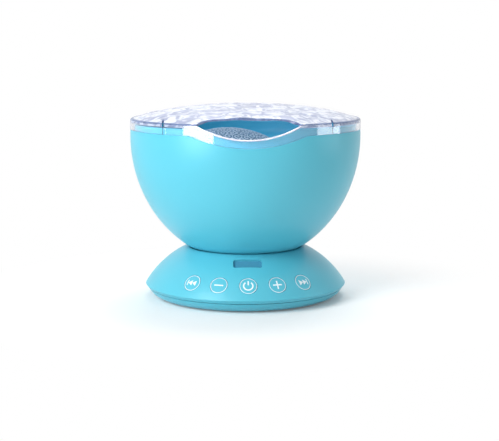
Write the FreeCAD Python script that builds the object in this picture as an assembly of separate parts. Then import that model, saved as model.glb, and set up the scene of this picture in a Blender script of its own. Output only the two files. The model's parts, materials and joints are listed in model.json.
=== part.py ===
import FreeCAD, Part
import math
import os

# Ocean light projector: a bowl-shaped lamp head that leans in a dished base
# All sizes are millimetres, +Z is up, and the front with the buttons faces -Y
# The origin is the centre of the ring of feet, on the surface that it stands on

# Bowl of the lamp head
bowl_radius = 65.0
bowl_wall = 2.2
bowl_low_z = 20.7
ball_bulge = 0.3
ball_radius = bowl_radius + ball_bulge
tilt_pivot_z = bowl_low_z + ball_radius
bowl_centre_rise = 5.75
bowl_centre_z = tilt_pivot_z + bowl_centre_rise
bowl_side_drop = 1.25
bowl_depth = bowl_centre_z - bowl_low_z + bowl_side_drop
bowl_rim_rise = 9.7
bowl_rim_z = tilt_pivot_z + bowl_rim_rise

# Scoop that dips the front of the rim
scoop_depth = 6.2
scoop_radius = 80.6
scoop_fillet = 12.0

# Clear cover over the bowl
cover_wall = 2.0
cover_gap = 0.2
cover_height = 14.3
cover_top_z = bowl_rim_z + cover_height
cover_shoulder_height = 6.3
cover_shoulder_z = bowl_rim_z + cover_shoulder_height
cover_shoulder_inset = 1.5
cover_skirt_height = 4.9
cover_skirt_top_z = bowl_rim_z + cover_skirt_height
cap_overrun = 10.0
cap_spread = bowl_radius + cap_overrun

# Finger notch in the front of the cover
notch_half_width = 28.0
notch_dip = 1.6
notch_low_z = bowl_rim_z - notch_dip
notch_radius = 57.0
notch_reach = 12.8
notch_back_y = notch_reach - bowl_radius
notch_corner = 9.0

# Flexing slits beside the notch
slit_x = 45.0
slit_width = 1.0
slit_length = 7.0
slit_groove = 0.4

# Base of two shells
base_edge_radius = 57.2
base_edge_z = 7.8
base_wall = 2.2
parting_z = 6.0
parting_gap = 0.3
undercut_slope = 0.75
collar_radius = 33.25
collar_z = 28.8
base_bulge = 2.45
seat_gap = 0.55
tray_knee_inset = 2.9
tray_knee_radius = base_edge_radius - tray_knee_inset
tray_knee_z = 3.8
tray_foot_inset = 8.5
tray_foot_radius = base_edge_radius - tray_foot_inset
tray_bulge = 0.5
tongue_height = 2.2
tongue_wall = 1.6

# Feet and the screws that close the base
foot_proud = 0.6
foot_radius = 4.5
foot_depth = 1.2
foot_ring_inset = 16.2
foot_ring_radius = base_edge_radius - foot_ring_inset
foot_angles = (38.0, 142.0, 230.0, 310.0)
base_screw_inset = 14.2
base_screw_ring_radius = base_edge_radius - base_screw_inset
base_screw_angles = (10.0, 170.0, 210.0, 330.0)
base_boss_radius = 3.2
base_boss_z = 8.0
screw_head_radius = 2.6
screw_head_height = 1.5
screw_radius = 1.25
screw_clearance = 0.2
base_screw_length = 12.0
screw_well_floor = 1.4

# Push buttons along the front
button_count = 5
button_pitch_angle = 17.7
button_inset = 5.4
button_ring_radius = base_edge_radius - button_inset
button_rise = 7.3
button_ring_z = base_edge_z + button_rise
slope_lean = math.degrees(math.atan2(base_edge_radius - collar_radius, collar_z - base_edge_z))
button_lean_offset = 4.755
button_lean = slope_lean - button_lean_offset
button_radius = 4.75
button_gap = 0.25
button_seat_gap = 0.3
button_depth = 2.6
button_flange_radius = 5.8
button_flange_thickness = 1.0
button_stem_radius = 1.6
button_stem_length = 1.0
button_travel = 0.6
switch_gap = 0.1
switch_side = 6.0
switch_height = 2.6
switch_plunger_radius = 1.5
switch_plunger_length = 0.9
carrier_thickness = 1.6
carrier_half_width = 6.0
carrier_end_angle = 46.0
carrier_boss_radius = 1.6
carrier_screw_length = 4.5
carrier_pocket = 0.3

# Infrared window above the buttons
window_offset = 6.45
window_centre_radius = collar_radius + window_offset
window_drop = 3.8
window_centre_z = collar_z - window_drop
window_lean_offset = 8.745
window_lean = slope_lean + window_lean_offset
window_width = 15.6
window_height = 6.5
window_corner = 1.2
window_recess = 1.2
window_reach = 3.2
window_flange = 1.0
window_flange_thickness = 1.0
receiver_width = 6.0
receiver_height = 5.0
receiver_depth = 3.0
receiver_lens_radius = 1.8

# Connector recess at the back
recess_half_width = 21.0
recess_inset = 11.2
recess_y = base_edge_radius - recess_inset
recess_low_z = 7.8
recess_high_z = 17.5
panel_wall = 2.2
socket_x = -12.0
socket_width = 8.0
socket_height = 2.8
socket_length = 6.8
socket_wall = 0.4
socket_setback = 0.8
jack_x = 12.0
jack_bore_radius = 1.8
jack_bore_length = 12.0
jack_width = 7.0
jack_height = 5.4
jack_collar_radius = 3.0
jack_collar_proud = 0.2
connector_clearance = 0.3

# Control board
board_half_width = 24.0
board_front_y = 12.6
board_gap = 0.2
board_thickness = 1.6
board_z = 8.0
board_post_radius = 3.0
board_post_x = 20.0
board_post_front_y = 16.0
board_post_back_y = 31.0
board_screw_length = 5.0
chip_side = 9.0
chip_height = 1.6
capacitor_radius = 3.0
capacitor_height = 6.5
header_length = 8.0
header_width = 4.0
header_height = 5.0

# Speaker facing down through the tray
speaker_y = -10.0
speaker_radius = 18.0
speaker_flange_width = 2.5
speaker_flange_thickness = 1.0
speaker_gasket_thickness = 0.6
speaker_throat_radius = 9.0
speaker_basket_height = 5.6
speaker_basket_wall = 0.8
magnet_radius = 9.5
magnet_height = 4.4
cone_wall = 0.5
cone_throat_radius = 5.0
cone_rise = 3.2
dust_cap_height = 1.6
speaker_wall_height = 2.4
speaker_wall = 1.4
speaker_fit = 0.3
grille_count = 7
grille_pitch = 4.0
grille_slot_width = 2.0
grille_margin = 3.5
tray_wall = 2.2

# Friction seat and tilt clamp
friction_inner_radius = 24.0
friction_outer_radius = 28.0
friction_depth = 1.05
friction_gap = 0.3
post_radius = 3.6
post_bore_radius = 2.2
post_flange_radius = 9.0
post_flange_thickness = 2.0
post_top_z = 30.6
post_hole_clearance = 0.2
saddle_gap = 0.4
saddle_thickness = 2.0
saddle_half_width = 12.0
saddle_half_depth = 9.0
clamp_spring_radius = 6.5
clamp_spring_height = 1.2
clamp_nut_radius = 7.0
clamp_nut_height = 3.2
slot_clearance = 0.5
tilt_range = 22.0
slot_end_angle = 0.3

# Inner deck
deck_drop = 9.7
deck_top_z = bowl_rim_z - deck_drop
deck_wall = 2.0
deck_clearance = 0.5
deck_bend = 6.0
liner_wall = 1.6
liner_height = 3.5
liner_top_z = bowl_rim_z + liner_height
liner_drop = 0.7
deck_radius = bowl_radius - bowl_wall - deck_clearance
deck_screw_inset = 26.3
deck_screw_x = deck_radius - deck_screw_inset
deck_screw_y = deck_screw_x
deck_post_radius = 3.2
deck_screw_length = 9.0

# Turning wave dome with its ring gear
dome_x = -10.0
dome_inset = 31.0
dome_base_radius = bowl_radius - dome_inset
dome_rise = 14.0
dome_top_z = deck_top_z + dome_rise
dome_wall = 1.8
dome_clearance = 0.6
gear_module = 1.5
ring_gear_margin = 2.0
ring_teeth = 2 * round((dome_base_radius + ring_gear_margin) / gear_module)
pinion_teeth = 12
gear_bore_clearance = 0.3
gear_top_gap = 0.5
gear_thickness = 4.2
gear_backlash = 0.36
gear_root_share = 1.25
pressure_angle = 20.0
spigot_inset = 2.0
spigot_radius = dome_base_radius - spigot_inset
spigot_wall = 2.4
spigot_top_gap = 0.4

# Lamp chassis and its lamps
chassis_gap = 0.3
chassis_thickness = 2.0
chassis_margin = 5.0
chassis_radius = dome_base_radius + chassis_margin
chassis_ear_offset = 4.0
chassis_ear_ring = chassis_radius + chassis_ear_offset
chassis_ear_angles = (45.0, 140.0, 220.0, 315.0)
chassis_ear_radius = 4.0
chassis_screw_length = 6.5
motor_lobe_radius = 18.0
led_board_inset = 5.5
led_board_radius = dome_base_radius - led_board_inset
led_board_thickness = 1.6
led_standoff = 0.8
led_standoff_inset = 3.5
led_standoff_radius = led_board_radius - led_standoff_inset
led_standoff_width = 2.0
led_count = 12
led_ring_radius = 18.0
led_radius = 2.5
led_height = 2.6

# Gear motor
shaft_radius = 1.5
shaft_clearance = 0.1
shaft_depth = 8.0
gearbox_length = 20.0
gearbox_width = 20.0
gearbox_height = 12.0
gearbox_ear_thickness = 3.0
gearbox_ear_half_span = 17.0
motor_screw_y = 14.0
motor_screw_length = 4.5
motor_radius = 9.5
motor_length = 16.0
motor_boss_radius = 3.0
motor_boss_height = 1.5

# Working extents for cutting tools
far = 200.0


def vec(x, y, z):
    """A point or direction."""
    return FreeCAD.Vector(x, y, z)


UP = vec(0, 0, 1)
AXIS_X = vec(1, 0, 0)
AXIS_Y = vec(0, 1, 0)
ORIGIN = vec(0, 0, 0)
PIVOT = vec(0, 0, tilt_pivot_z)


def line(start, end):
    """A straight edge in the half plane of radius and height."""
    return Part.makeLine(vec(start[0], 0, start[1]), vec(end[0], 0, end[1]))


def arc(start, middle, end):
    """A round edge through three points of the half plane."""
    points = [vec(point[0], 0, point[1]) for point in (start, middle, end)]
    return Part.Arc(*points).toShape()


def bulged(start, end, bulge):
    """A round edge whose middle stands off its chord, to the left of the way from start to end."""
    run = (end[0] - start[0], end[1] - start[1])
    share = bulge / math.hypot(run[0], run[1])
    middle = ((start[0] + end[0]) / 2 - run[1] * share, (start[1] + end[1]) / 2 + run[0] * share)
    return arc(start, middle, end)


def inset_corner(before, corner, after, inset):
    """A corner moved in by a wall's thickness from both of its edges, to the left of the way along them."""
    first = (corner[0] - before[0], corner[1] - before[1])
    second = (after[0] - corner[0], after[1] - corner[1])
    first_length = math.hypot(first[0], first[1])
    second_length = math.hypot(second[0], second[1])
    a, b = -first[1] / first_length, first[0] / first_length
    c, d = -second[1] / second_length, second[0] / second_length
    share = inset / (a * d - b * c)
    return corner[0] + share * (d - b), corner[1] + share * (a - c)


def outline(points):
    """Straight edges through the points."""
    return [line(points[i], points[i + 1]) for i in range(len(points) - 1)]


def face_of(edges):
    """A flat face inside a closed run of edges."""
    return Part.Face(Part.Wire(edges))


def revolve(edges):
    """A solid of revolution about the vertical axis."""
    return face_of(edges).revolve(ORIGIN, UP, 360)


def disc(x, y, radius, low, high):
    """An upright cylinder between two heights."""
    return Part.makeCylinder(radius, high - low, vec(x, y, low), UP)


def ring(x, y, inner, outer, low, high):
    """An upright tube between two heights."""
    return disc(x, y, outer, low, high).cut(disc(x, y, inner, low, high))


def block(x_low, x_high, y_low, y_high, z_low, z_high):
    """A box between two corners."""
    return Part.makeBox(x_high - x_low, y_high - y_low, z_high - z_low, vec(x_low, y_low, z_low))


def ball(radius):
    """A ball about the tilt pivot."""
    return Part.makeSphere(radius, PIVOT)


def polar(radius, angle):
    """Plan position at an angle in degrees from +X."""
    return radius * math.cos(math.radians(angle)), radius * math.sin(math.radians(angle))


def screw(x, y, seat_z, length, direction):
    """A pan-head screw whose head lies behind the seat, with its shank along direction (+1 is up)."""
    way = vec(0, 0, direction)
    head = Part.makeCylinder(screw_head_radius, screw_head_height, vec(x, y, seat_z), way * -1)
    shank = Part.makeCylinder(screw_radius, length, vec(x, y, seat_z), way)
    return head.fuse(shank)


def all_of(shapes):
    """Several separate solids as one group."""
    return Part.makeCompound(shapes)


def one_solid(shape):
    """The single solid of a finished shape, without seams between faces that continue each other."""
    return shape.removeSplitter()


# Bowl


def meeting_height(ball_r, semi_r, semi_z):
    """Height where the ball about the pivot leaves the bowl's ellipse, from the two equations set equal."""
    a = 1 / semi_z ** 2 - 1 / semi_r ** 2
    b = 2 * tilt_pivot_z / semi_r ** 2 - 2 * bowl_centre_z / semi_z ** 2
    c = (ball_r ** 2 - tilt_pivot_z ** 2) / semi_r ** 2 + bowl_centre_z ** 2 / semi_z ** 2 - 1
    root = math.sqrt(b * b - 4 * a * c)
    return min((-b - root) / (2 * a), (-b + root) / (2 * a))


def bowl_form(inset, top_z):
    """The bowl's solid form: an elliptical side that runs into a ball-shaped bottom."""
    semi_r = bowl_radius - inset
    semi_z = bowl_depth - inset
    ball_r = ball_radius - inset
    low_z = meeting_height(ball_r, semi_r, semi_z)
    low_r = math.sqrt(ball_r ** 2 - (tilt_pivot_z - low_z) ** 2)
    centre = vec(0, 0, bowl_centre_z)
    curve = Part.Ellipse(vec(0, 0, bowl_centre_z - semi_z), vec(semi_r, 0, bowl_centre_z), centre)
    start = math.acos((bowl_centre_z - low_z) / semi_z)
    end = math.acos((bowl_centre_z - top_z) / semi_z)
    side = Part.ArcOfEllipse(curve, start, end).toShape()
    top_r = semi_r * math.sin(end)
    half = math.asin(low_r / ball_r) / 2
    bottom = arc((0, tilt_pivot_z - ball_r),
                 (ball_r * math.sin(half), tilt_pivot_z - ball_r * math.cos(half)),
                 (low_r, low_z))
    return revolve([bottom, side] + outline([(top_r, top_z), (0, top_z), (0, tilt_pivot_z - ball_r)]))


def scoop_edges(lift):
    """The rim line seen from the front: flat, then a fillet, a wide dip, a fillet and flat again."""
    rim = bowl_rim_z + lift
    dip_centre = rim - scoop_depth + scoop_radius
    fillet_centre = rim - scoop_fillet
    reach = scoop_radius + scoop_fillet
    x_flat = math.sqrt(reach ** 2 - (dip_centre - fillet_centre) ** 2)
    share = scoop_fillet / reach
    x_turn = x_flat * (1 - share)
    z_turn = fillet_centre + (dip_centre - fillet_centre) * share
    half = math.atan2(x_flat, dip_centre - fillet_centre) / 2
    x_mid = x_flat - scoop_fillet * math.sin(half)
    z_mid = fillet_centre + scoop_fillet * math.cos(half)
    return [line((-far, rim), (-x_flat, rim)),
            arc((-x_flat, rim), (-x_mid, z_mid), (-x_turn, z_turn)),
            arc((-x_turn, z_turn), (0, rim - scoop_depth), (x_turn, z_turn)),
            arc((x_turn, z_turn), (x_mid, z_mid), (x_flat, rim)),
            line((x_flat, rim), (far, rim))]


def front_prism(edges):
    """A profile seen from the front, carried from the middle of the object out past its front."""
    return face_of(edges).extrude(vec(0, -far, 0))


def above_scoop():
    """Everything over the rim line, in front."""
    rim = bowl_rim_z
    frame = outline([(far, rim), (far, rim + far), (-far, rim + far), (-far, rim)])
    return front_prism(scoop_edges(0) + frame)


def below_scoop():
    """Everything under the cover's lower edge, in front."""
    rim = bowl_rim_z + cover_gap
    frame = outline([(far, rim), (far, rim - far), (-far, rim - far), (-far, rim)])
    return front_prism(scoop_edges(cover_gap) + frame)


def deck_screw_places():
    """Plan positions of the four deck screws."""
    return [(x, y) for x in (-deck_screw_x, deck_screw_x) for y in (-deck_screw_y, deck_screw_y)]


def tilt_slot():
    """The slot in the bowl's bottom that the post passes, long enough for the whole lean."""
    margin = slot_end_angle + math.degrees(math.asin((post_radius + slot_clearance) / ball_radius))
    half = post_radius + slot_clearance
    sweep = tilt_range + 2 * margin
    section = Part.makePolygon([vec(-half, 0, -far), vec(half, 0, -far), vec(half, 0, -ball_radius / 2),
                                vec(-half, 0, -ball_radius / 2), vec(-half, 0, -far)])
    section.rotate(ORIGIN, AXIS_X, margin)
    section.translate(PIVOT)
    return Part.Face(section).revolve(PIVOT, AXIS_X * -1, sweep)


def bowl_shell():
    """The moulded bowl with its scooped rim, screw posts and tilt slot."""
    outer = bowl_form(0, bowl_rim_z)
    inner = bowl_form(bowl_wall, bowl_rim_z)
    shell = outer.cut(inner)
    deck_under = deck_top_z - deck_wall
    low = bowl_centre_z - bowl_depth
    posts = [disc(x, y, deck_post_radius, low, deck_under) for x, y in deck_screw_places()]
    shell = shell.fuse([post.common(outer) for post in posts])
    hole_low = deck_under - deck_screw_length
    holes = [disc(x, y, screw_radius, hole_low, deck_under) for x, y in deck_screw_places()]
    return one_solid(shell.cut(holes + [tilt_slot(), above_scoop()]))


# Clear cover


def cap_rise(spread, height, radius):
    """Height of an elliptical cap above its centre plane."""
    return height * math.sqrt(1 - (radius / spread) ** 2)


def cap_edge(spread, height, centre_z, radius):
    """The cap's edge from the axis out to a radius."""
    curve = Part.Ellipse(vec(spread, 0, centre_z), vec(0, 0, centre_z + height), vec(0, 0, centre_z))
    return Part.ArcOfEllipse(curve, math.acos(radius / spread), math.pi / 2).toShape()


def cover_form(inset, low_z):
    """The cover's solid form: a skirt, a rounded shoulder and a shallow cap."""
    shoulder_r = bowl_radius - cover_shoulder_inset
    drop = cover_top_z - cover_shoulder_z
    height = drop / (1 - math.sqrt(1 - (shoulder_r / cap_spread) ** 2))
    centre_z = cover_top_z - height
    spread = cap_spread - inset
    cap_height = height - inset
    skirt_r = bowl_radius - inset
    edge_r = shoulder_r - inset
    edge_z = centre_z + cap_rise(spread, cap_height, edge_r)
    skirt_z = cover_skirt_top_z - inset / 2
    shoulder = bulged((skirt_r, skirt_z), (edge_r, edge_z), -cover_shoulder_inset / 4)
    cap = cap_edge(spread, cap_height, centre_z, edge_r)
    skirt = outline([(0, cover_top_z - inset), (0, low_z), (skirt_r, low_z), (skirt_r, skirt_z)])
    return revolve(skirt + [shoulder, cap])


def above_dip(lift):
    """Everything over the notch's curved lower edge, in front, raised or lowered by a lift."""
    low = notch_low_z + lift
    side_x = notch_half_width + notch_corner / 2
    side_z = low + notch_radius - math.sqrt(notch_radius ** 2 - side_x ** 2)
    dip = arc((-side_x, side_z), (0, low), (side_x, side_z))
    sides = outline([(side_x, side_z), (side_x, far), (-side_x, far), (-side_x, side_z)])
    return front_prism([dip] + sides)


def finger_notch():
    """The notch in the cover's front: a dip seen from the front, a rounded pocket seen from above."""
    plan = block(-notch_half_width, notch_half_width, -far, notch_back_y, 0, far)
    edges = [edge for edge in plan.Edges if is_back_corner(edge)]
    return above_dip(0).common(plan.makeFillet(notch_corner, edges))


def is_back_corner(edge):
    """True for the two upright edges at the back of the notch."""
    box = edge.BoundBox
    return box.ZLength > far / 2 and box.YMin > notch_back_y - notch_corner


def flexing_slits():
    """A slit through the cap at each side of the notch, and the fine line that runs on down the skirt."""
    tools = []
    for side in (-1, 1):
        x = side * slit_x
        rim_y = -math.sqrt(bowl_radius ** 2 - slit_x ** 2)
        skirt_in = cover_skirt_top_z - cover_wall / 2
        tools.append(block(x - slit_width / 2, x + slit_width / 2, rim_y - slit_width, rim_y + slit_length,
                           skirt_in, far))
        deep = rim_y + slit_groove
        tools.append(block(x - slit_groove / 2, x + slit_groove / 2, -far, deep, 0, far))
    return tools


def clear_cover():
    """The clear moulded cover that lifts off the bowl."""
    low = bowl_rim_z - scoop_depth - cover_wall
    shell = cover_form(0, low).cut(cover_form(cover_wall, low))
    back_low = block(-far, far, 0, far, 0, bowl_rim_z + cover_gap)
    shell = shell.cut([below_scoop(), back_low])
    return one_solid(shell.cut([finger_notch()] + flexing_slits()))


# Base shells


def seat_radius():
    """Radius of the dish that the bowl leans in."""
    return ball_radius + seat_gap


def cover_foot_radius():
    """Radius of the base cover's lower edge, under the crease."""
    return base_edge_radius - undercut_slope * (base_edge_z - parting_z)


def base_corner(inset):
    """The crease of the base, or the corner inside its wall."""
    crease = (base_edge_radius, base_edge_z)
    return inset_corner((cover_foot_radius(), parting_z), crease, (collar_radius, collar_z), inset)


def base_form(inset):
    """The base cover's form under its dish: an undercut, the crease and a bulged cone up to the collar."""
    edge = base_corner(inset)
    low = (edge[0] - undercut_slope * (edge[1] - parting_z), parting_z)
    run = (collar_radius - base_edge_radius, collar_z - base_edge_z)
    length = math.hypot(run[0], run[1])
    top = (collar_radius - run[1] / length * inset, collar_z + run[0] / length * inset)
    return revolve([line((0, parting_z), low), line(low, edge), bulged(edge, top, -base_bulge),
                    line(top, (0, top[1])), line((0, top[1]), (0, parting_z))])


def recess_form(grow):
    """The connector recess behind the base, or its walls when grown."""
    return block(-recess_half_width - grow, recess_half_width + grow, recess_y - grow, far,
                 recess_low_z - grow, recess_high_z + grow)


def base_screw_places():
    """Plan positions of the screws that close the base."""
    return [polar(base_screw_ring_radius, angle) for angle in base_screw_angles]


def leaned(shape, radius, z, lean, azimuth):
    """Puts a tool made about the vertical axis onto the base's slope: its top faces out along the normal."""
    shape.rotate(ORIGIN, AXIS_X, 90 - lean)
    shape.translate(vec(0, -radius, z))
    shape.rotate(ORIGIN, UP, azimuth)
    return shape


def on_button(shape, azimuth):
    """Puts a tool at a button's place."""
    return leaned(shape, button_ring_radius, button_ring_z, button_lean, azimuth)


def on_window(shape):
    """Puts a tool at the window's place."""
    return leaned(shape, window_centre_radius, window_centre_z, window_lean, 0)


def button_azimuths():
    """Angles of the buttons from the front, left to right."""
    middle = (button_count - 1) / 2
    return [(index - middle) * button_pitch_angle for index in range(button_count)]


def carrier_boss_azimuths():
    """Angles of the bosses that stand between the buttons."""
    middle = (button_count - 2) / 2
    return [(index - middle) * button_pitch_angle for index in range(button_count - 1)]


def carrier_depth():
    """Depth of the carrier's upper face under the base's surface."""
    stem_end = button_depth + button_flange_thickness + button_stem_length
    return stem_end + button_travel + switch_gap + switch_plunger_length + switch_height - carrier_pocket


def window_prism(grow, deep, shallow):
    """The window's rounded outline between two depths under the surface."""
    width = window_width + 2 * grow
    height = window_height + 2 * grow
    plate = block(-width / 2, width / 2, -height / 2, height / 2, -deep, -shallow)
    corners = [edge for edge in plate.Edges if edge.BoundBox.ZLength > (deep - shallow) / 2]
    return plate.makeFillet(window_corner, corners)


def friction_band(inner_gap, outer_gap):
    """A band of the seat between two radii about the pivot."""
    band = ring(0, 0, friction_inner_radius, friction_outer_radius, 0, tilt_pivot_z)
    return band.common(ball(ball_radius + outer_gap)).cut(ball(ball_radius + inner_gap))


def base_cover():
    """The upper base shell with its dish, button holes, window and connector recess."""
    seat = ball(seat_radius())
    outer = base_form(0).cut([seat, recess_form(0)])
    inner = base_form(base_wall).cut([ball(seat_radius() + base_wall), recess_form(panel_wall)])
    shell = outer.cut(inner)
    bosses = [disc(x, y, base_boss_radius, base_boss_z, collar_z) for x, y in base_screw_places()]
    bosses += [on_button(disc(0, 0, carrier_boss_radius, -carrier_depth(), 0), azimuth)
               for azimuth in carrier_boss_azimuths()]
    shell = shell.fuse([boss.common(outer) for boss in bosses])
    tools = [disc(x, y, screw_radius, base_boss_z, base_boss_z + base_screw_length)
             for x, y in base_screw_places()]
    tools += [on_button(disc(0, 0, button_radius + button_gap, -base_wall * 2, base_wall), azimuth)
              for azimuth in button_azimuths()]
    tools += [on_button(disc(0, 0, button_flange_radius + button_seat_gap, -carrier_depth(),
                             button_seat_gap - button_depth), azimuth) for azimuth in button_azimuths()]
    tools += [on_button(disc(0, 0, screw_radius / 2, -carrier_depth(), -base_wall), azimuth)
              for azimuth in carrier_boss_azimuths()]
    tools.append(on_window(window_prism(0, window_reach + window_flange_thickness, -base_wall)))
    tools.append(friction_band(0, seat_gap + friction_depth))
    tools.append(disc(0, 0, post_radius + post_hole_clearance, 0, tilt_pivot_z))
    tools.append(socket_opening())
    tools.append(Part.makeCylinder(jack_collar_radius, panel_wall * 2,
                                   vec(jack_x, recess_y + panel_wall / 2, jack_z()), AXIS_Y * -1))
    return one_solid(shell.cut(tools))


def base_floor_z():
    """Height of the tray's inside floor."""
    return foot_proud + tray_wall


def tray_form(inset):
    """The tray's form: a convex side from its foot ring out to the parting line."""
    top_z = parting_z - parting_gap
    middle = (0, foot_proud)
    foot = (tray_foot_radius, foot_proud)
    knee = (tray_knee_radius, tray_knee_z)
    top = (cover_foot_radius() - undercut_slope * parting_gap, top_z)
    inner_foot = inset_corner(middle, foot, knee, inset)
    inner_knee = inset_corner(foot, knee, top, inset)
    lean = (top[0] - knee[0]) / (top_z - tray_knee_z)
    inner_top = (inner_knee[0] + lean * (top_z - inner_knee[1]), top_z)
    low = inner_foot[1]
    return revolve([line((0, low), inner_foot), bulged(inner_foot, inner_knee, -tray_bulge),
                    line(inner_knee, inner_top), line(inner_top, (0, top_z)), line((0, top_z), (0, low))])


def tongue_radius():
    """Radius of the tongue that stands up inside the cover's edge."""
    corner = base_corner(base_wall)
    return corner[0] - undercut_slope * (corner[1] - parting_z) - parting_gap


def grille_slots():
    """Rounded slots under the speaker, shorter towards the sides."""
    tools = []
    reach = speaker_radius - grille_margin
    for index in range(grille_count):
        x = (index - (grille_count - 1) / 2) * grille_pitch
        half = math.sqrt(reach ** 2 - x ** 2) - grille_slot_width / 2
        round_end = grille_slot_width / 2
        slot = block(x - round_end, x + round_end, speaker_y - half, speaker_y + half, 0, base_floor_z())
        ends = [disc(x, speaker_y + side * half, round_end, 0, base_floor_z()) for side in (-1, 1)]
        tools.append(slot.fuse(ends))
    return tools


def board_post_places():
    """Plan positions of the posts that carry the control board."""
    return [(x, y) for x in (-board_post_x, board_post_x) for y in (board_post_front_y, board_post_back_y)]


def base_tray():
    """The lower base shell with its grille, posts, screw wells and foot pockets."""
    floor = base_floor_z()
    shell = tray_form(0).cut(tray_form(tray_wall))
    tongue_top = parting_z - parting_gap + tongue_height
    additions = [ring(0, 0, tongue_radius() - tongue_wall, tongue_radius(), floor, tongue_top)]
    additions += [disc(x, y, base_boss_radius, foot_proud, base_boss_z) for x, y in base_screw_places()]
    additions += [disc(x, y, board_post_radius, foot_proud, board_z) for x, y in board_post_places()]
    well_radius = speaker_radius + speaker_fit
    additions.append(ring(0, speaker_y, well_radius, well_radius + speaker_wall, foot_proud,
                          floor + speaker_wall_height))
    shell = shell.fuse(additions)
    tools = grille_slots()
    for x, y in base_screw_places():
        well_top = foot_proud + screw_well_floor + screw_head_height
        tools.append(disc(x, y, screw_head_radius + screw_clearance, 0, well_top))
        tools.append(disc(x, y, screw_radius + screw_clearance, 0, base_boss_z))
    for x, y in board_post_places():
        tools.append(disc(x, y, screw_radius, board_z - board_screw_length, board_z))
    for angle in foot_angles:
        x, y = polar(foot_ring_radius, angle)
        tools.append(disc(x, y, foot_radius, 0, foot_proud + foot_depth))
    tools.append(recess_form(panel_wall))
    return one_solid(shell.cut(tools))


def rubber_feet():
    """Four round rubber feet."""
    places = [polar(foot_ring_radius, angle) for angle in foot_angles]
    return all_of([disc(x, y, foot_radius, 0, foot_proud + foot_depth) for x, y in places])


def base_screws():
    """Screws that close the base from below."""
    seat = foot_proud + screw_well_floor + screw_head_height
    return all_of([screw(x, y, seat, base_screw_length, 1) for x, y in base_screw_places()])


# Buttons


def button(azimuth):
    """A push button: a cap flush with the base, a flange that keeps it in, and a stem."""
    cap = on_button(disc(0, 0, button_radius, -button_depth, base_wall), azimuth)
    cap = cap.common(base_form(0))
    flange_end = button_depth + button_flange_thickness
    flange = on_button(disc(0, 0, button_flange_radius, -flange_end, -button_depth), azimuth)
    stem_end = flange_end + button_stem_length
    stem = on_button(disc(0, 0, button_stem_radius, -stem_end, -flange_end), azimuth)
    return one_solid(cap.fuse([flange, stem]))


def switch_box(azimuth):
    """The square body of a switch under a button."""
    high = carrier_depth() + carrier_pocket - switch_height
    half = switch_side / 2
    return on_button(block(-half, half, -half, half, -high - switch_height, -high), azimuth)


def tact_switches():
    """A small switch under each button."""
    switches = []
    for azimuth in button_azimuths():
        top = carrier_depth() + carrier_pocket - switch_height
        plunger = on_button(disc(0, 0, switch_plunger_radius, -top, switch_plunger_length - top), azimuth)
        switches.append(switch_box(azimuth).fuse(plunger))
    return all_of(switches)


def switch_carrier():
    """The curved bracket that holds the switches, a slice of a cone parallel to the base's slope."""
    radial = math.cos(math.radians(button_lean))
    upward = math.sin(math.radians(button_lean))
    corners = []
    for along, deep in ((-1, 0), (1, 0), (1, 1), (-1, 1), (-1, 0)):
        depth = carrier_depth() + deep * carrier_thickness
        step = along * carrier_half_width
        corners.append(vec(0, -(button_ring_radius - depth * radial + step * upward),
                           button_ring_z - depth * upward - step * radial))
    section = Part.Face(Part.makePolygon(corners))
    section.rotate(ORIGIN, UP, -carrier_end_angle)
    bracket = section.revolve(ORIGIN, UP, 2 * carrier_end_angle)
    tools = [switch_box(azimuth) for azimuth in button_azimuths()]
    seat = -carrier_depth() - carrier_thickness
    for azimuth in carrier_boss_azimuths():
        tools.append(on_button(disc(0, 0, screw_radius / 2, -far, -base_wall), azimuth))
        tools.append(on_button(disc(0, 0, screw_radius + screw_clearance, -far, seat), azimuth))
    return one_solid(bracket.cut(tools))


def carrier_screws():
    """Small screws that hold the carrier on its bosses."""
    seat = carrier_depth() + carrier_thickness
    screws = []
    for azimuth in carrier_boss_azimuths():
        head = disc(0, 0, screw_radius, -seat - screw_head_height / 2, -seat)
        shank = disc(0, 0, screw_radius / 2, -seat, carrier_screw_length - seat)
        screws.append(on_button(head.fuse(shank), azimuth))
    return all_of(screws)


# Window and receiver


def ir_window():
    """The dark window that the remote control's signal comes through."""
    pane = window_prism(0, window_reach, window_recess)
    flange = window_prism(window_flange, window_reach + window_flange_thickness, window_reach)
    return one_solid(on_window(pane.fuse(flange)))


def ir_receiver():
    """The receiver that looks out through the window."""
    front = window_reach + window_flange_thickness
    body = block(-receiver_width / 2, receiver_width / 2, -receiver_height / 2, receiver_height / 2,
                 -front - receiver_depth - receiver_lens_radius, -front - receiver_lens_radius)
    lens = disc(0, 0, receiver_lens_radius, -front - receiver_lens_radius, -front)
    return one_solid(on_window(body.fuse(lens)))


# Connectors and control board


def board_top():
    """Height of the control board's upper face."""
    return board_z + board_thickness


def jack_z():
    """Height of the audio socket's axis."""
    return board_top() + jack_height / 2


def socket_mid_z():
    """Height of the power socket's middle."""
    return board_top() + socket_height / 2


def socket_opening():
    """The hole in the panel for the power socket."""
    half = socket_width / 2 + connector_clearance
    tall = socket_height / 2 + connector_clearance
    return block(socket_x - half, socket_x + half, recess_y - panel_wall * 2, recess_y + panel_wall,
                 socket_mid_z() - tall, socket_mid_z() + tall)


def usb_socket():
    """The power socket: a folded metal shell around a contact tongue."""
    front = recess_y - socket_setback
    back = front - socket_length
    half = socket_width / 2
    low = board_top()
    high = low + socket_height
    shell = block(socket_x - half, socket_x + half, back, front, low, high)
    mouth = half - socket_wall
    cavity = block(socket_x - mouth, socket_x + mouth, back + socket_wall * 2, front,
                   low + socket_wall, high - socket_wall)
    tongue = block(socket_x - half / 2, socket_x + half / 2, back, front - socket_wall * 2,
                   socket_mid_z() - socket_wall / 2, socket_mid_z() + socket_wall / 2)
    return one_solid(shell.cut(cavity).fuse(tongue))


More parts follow.
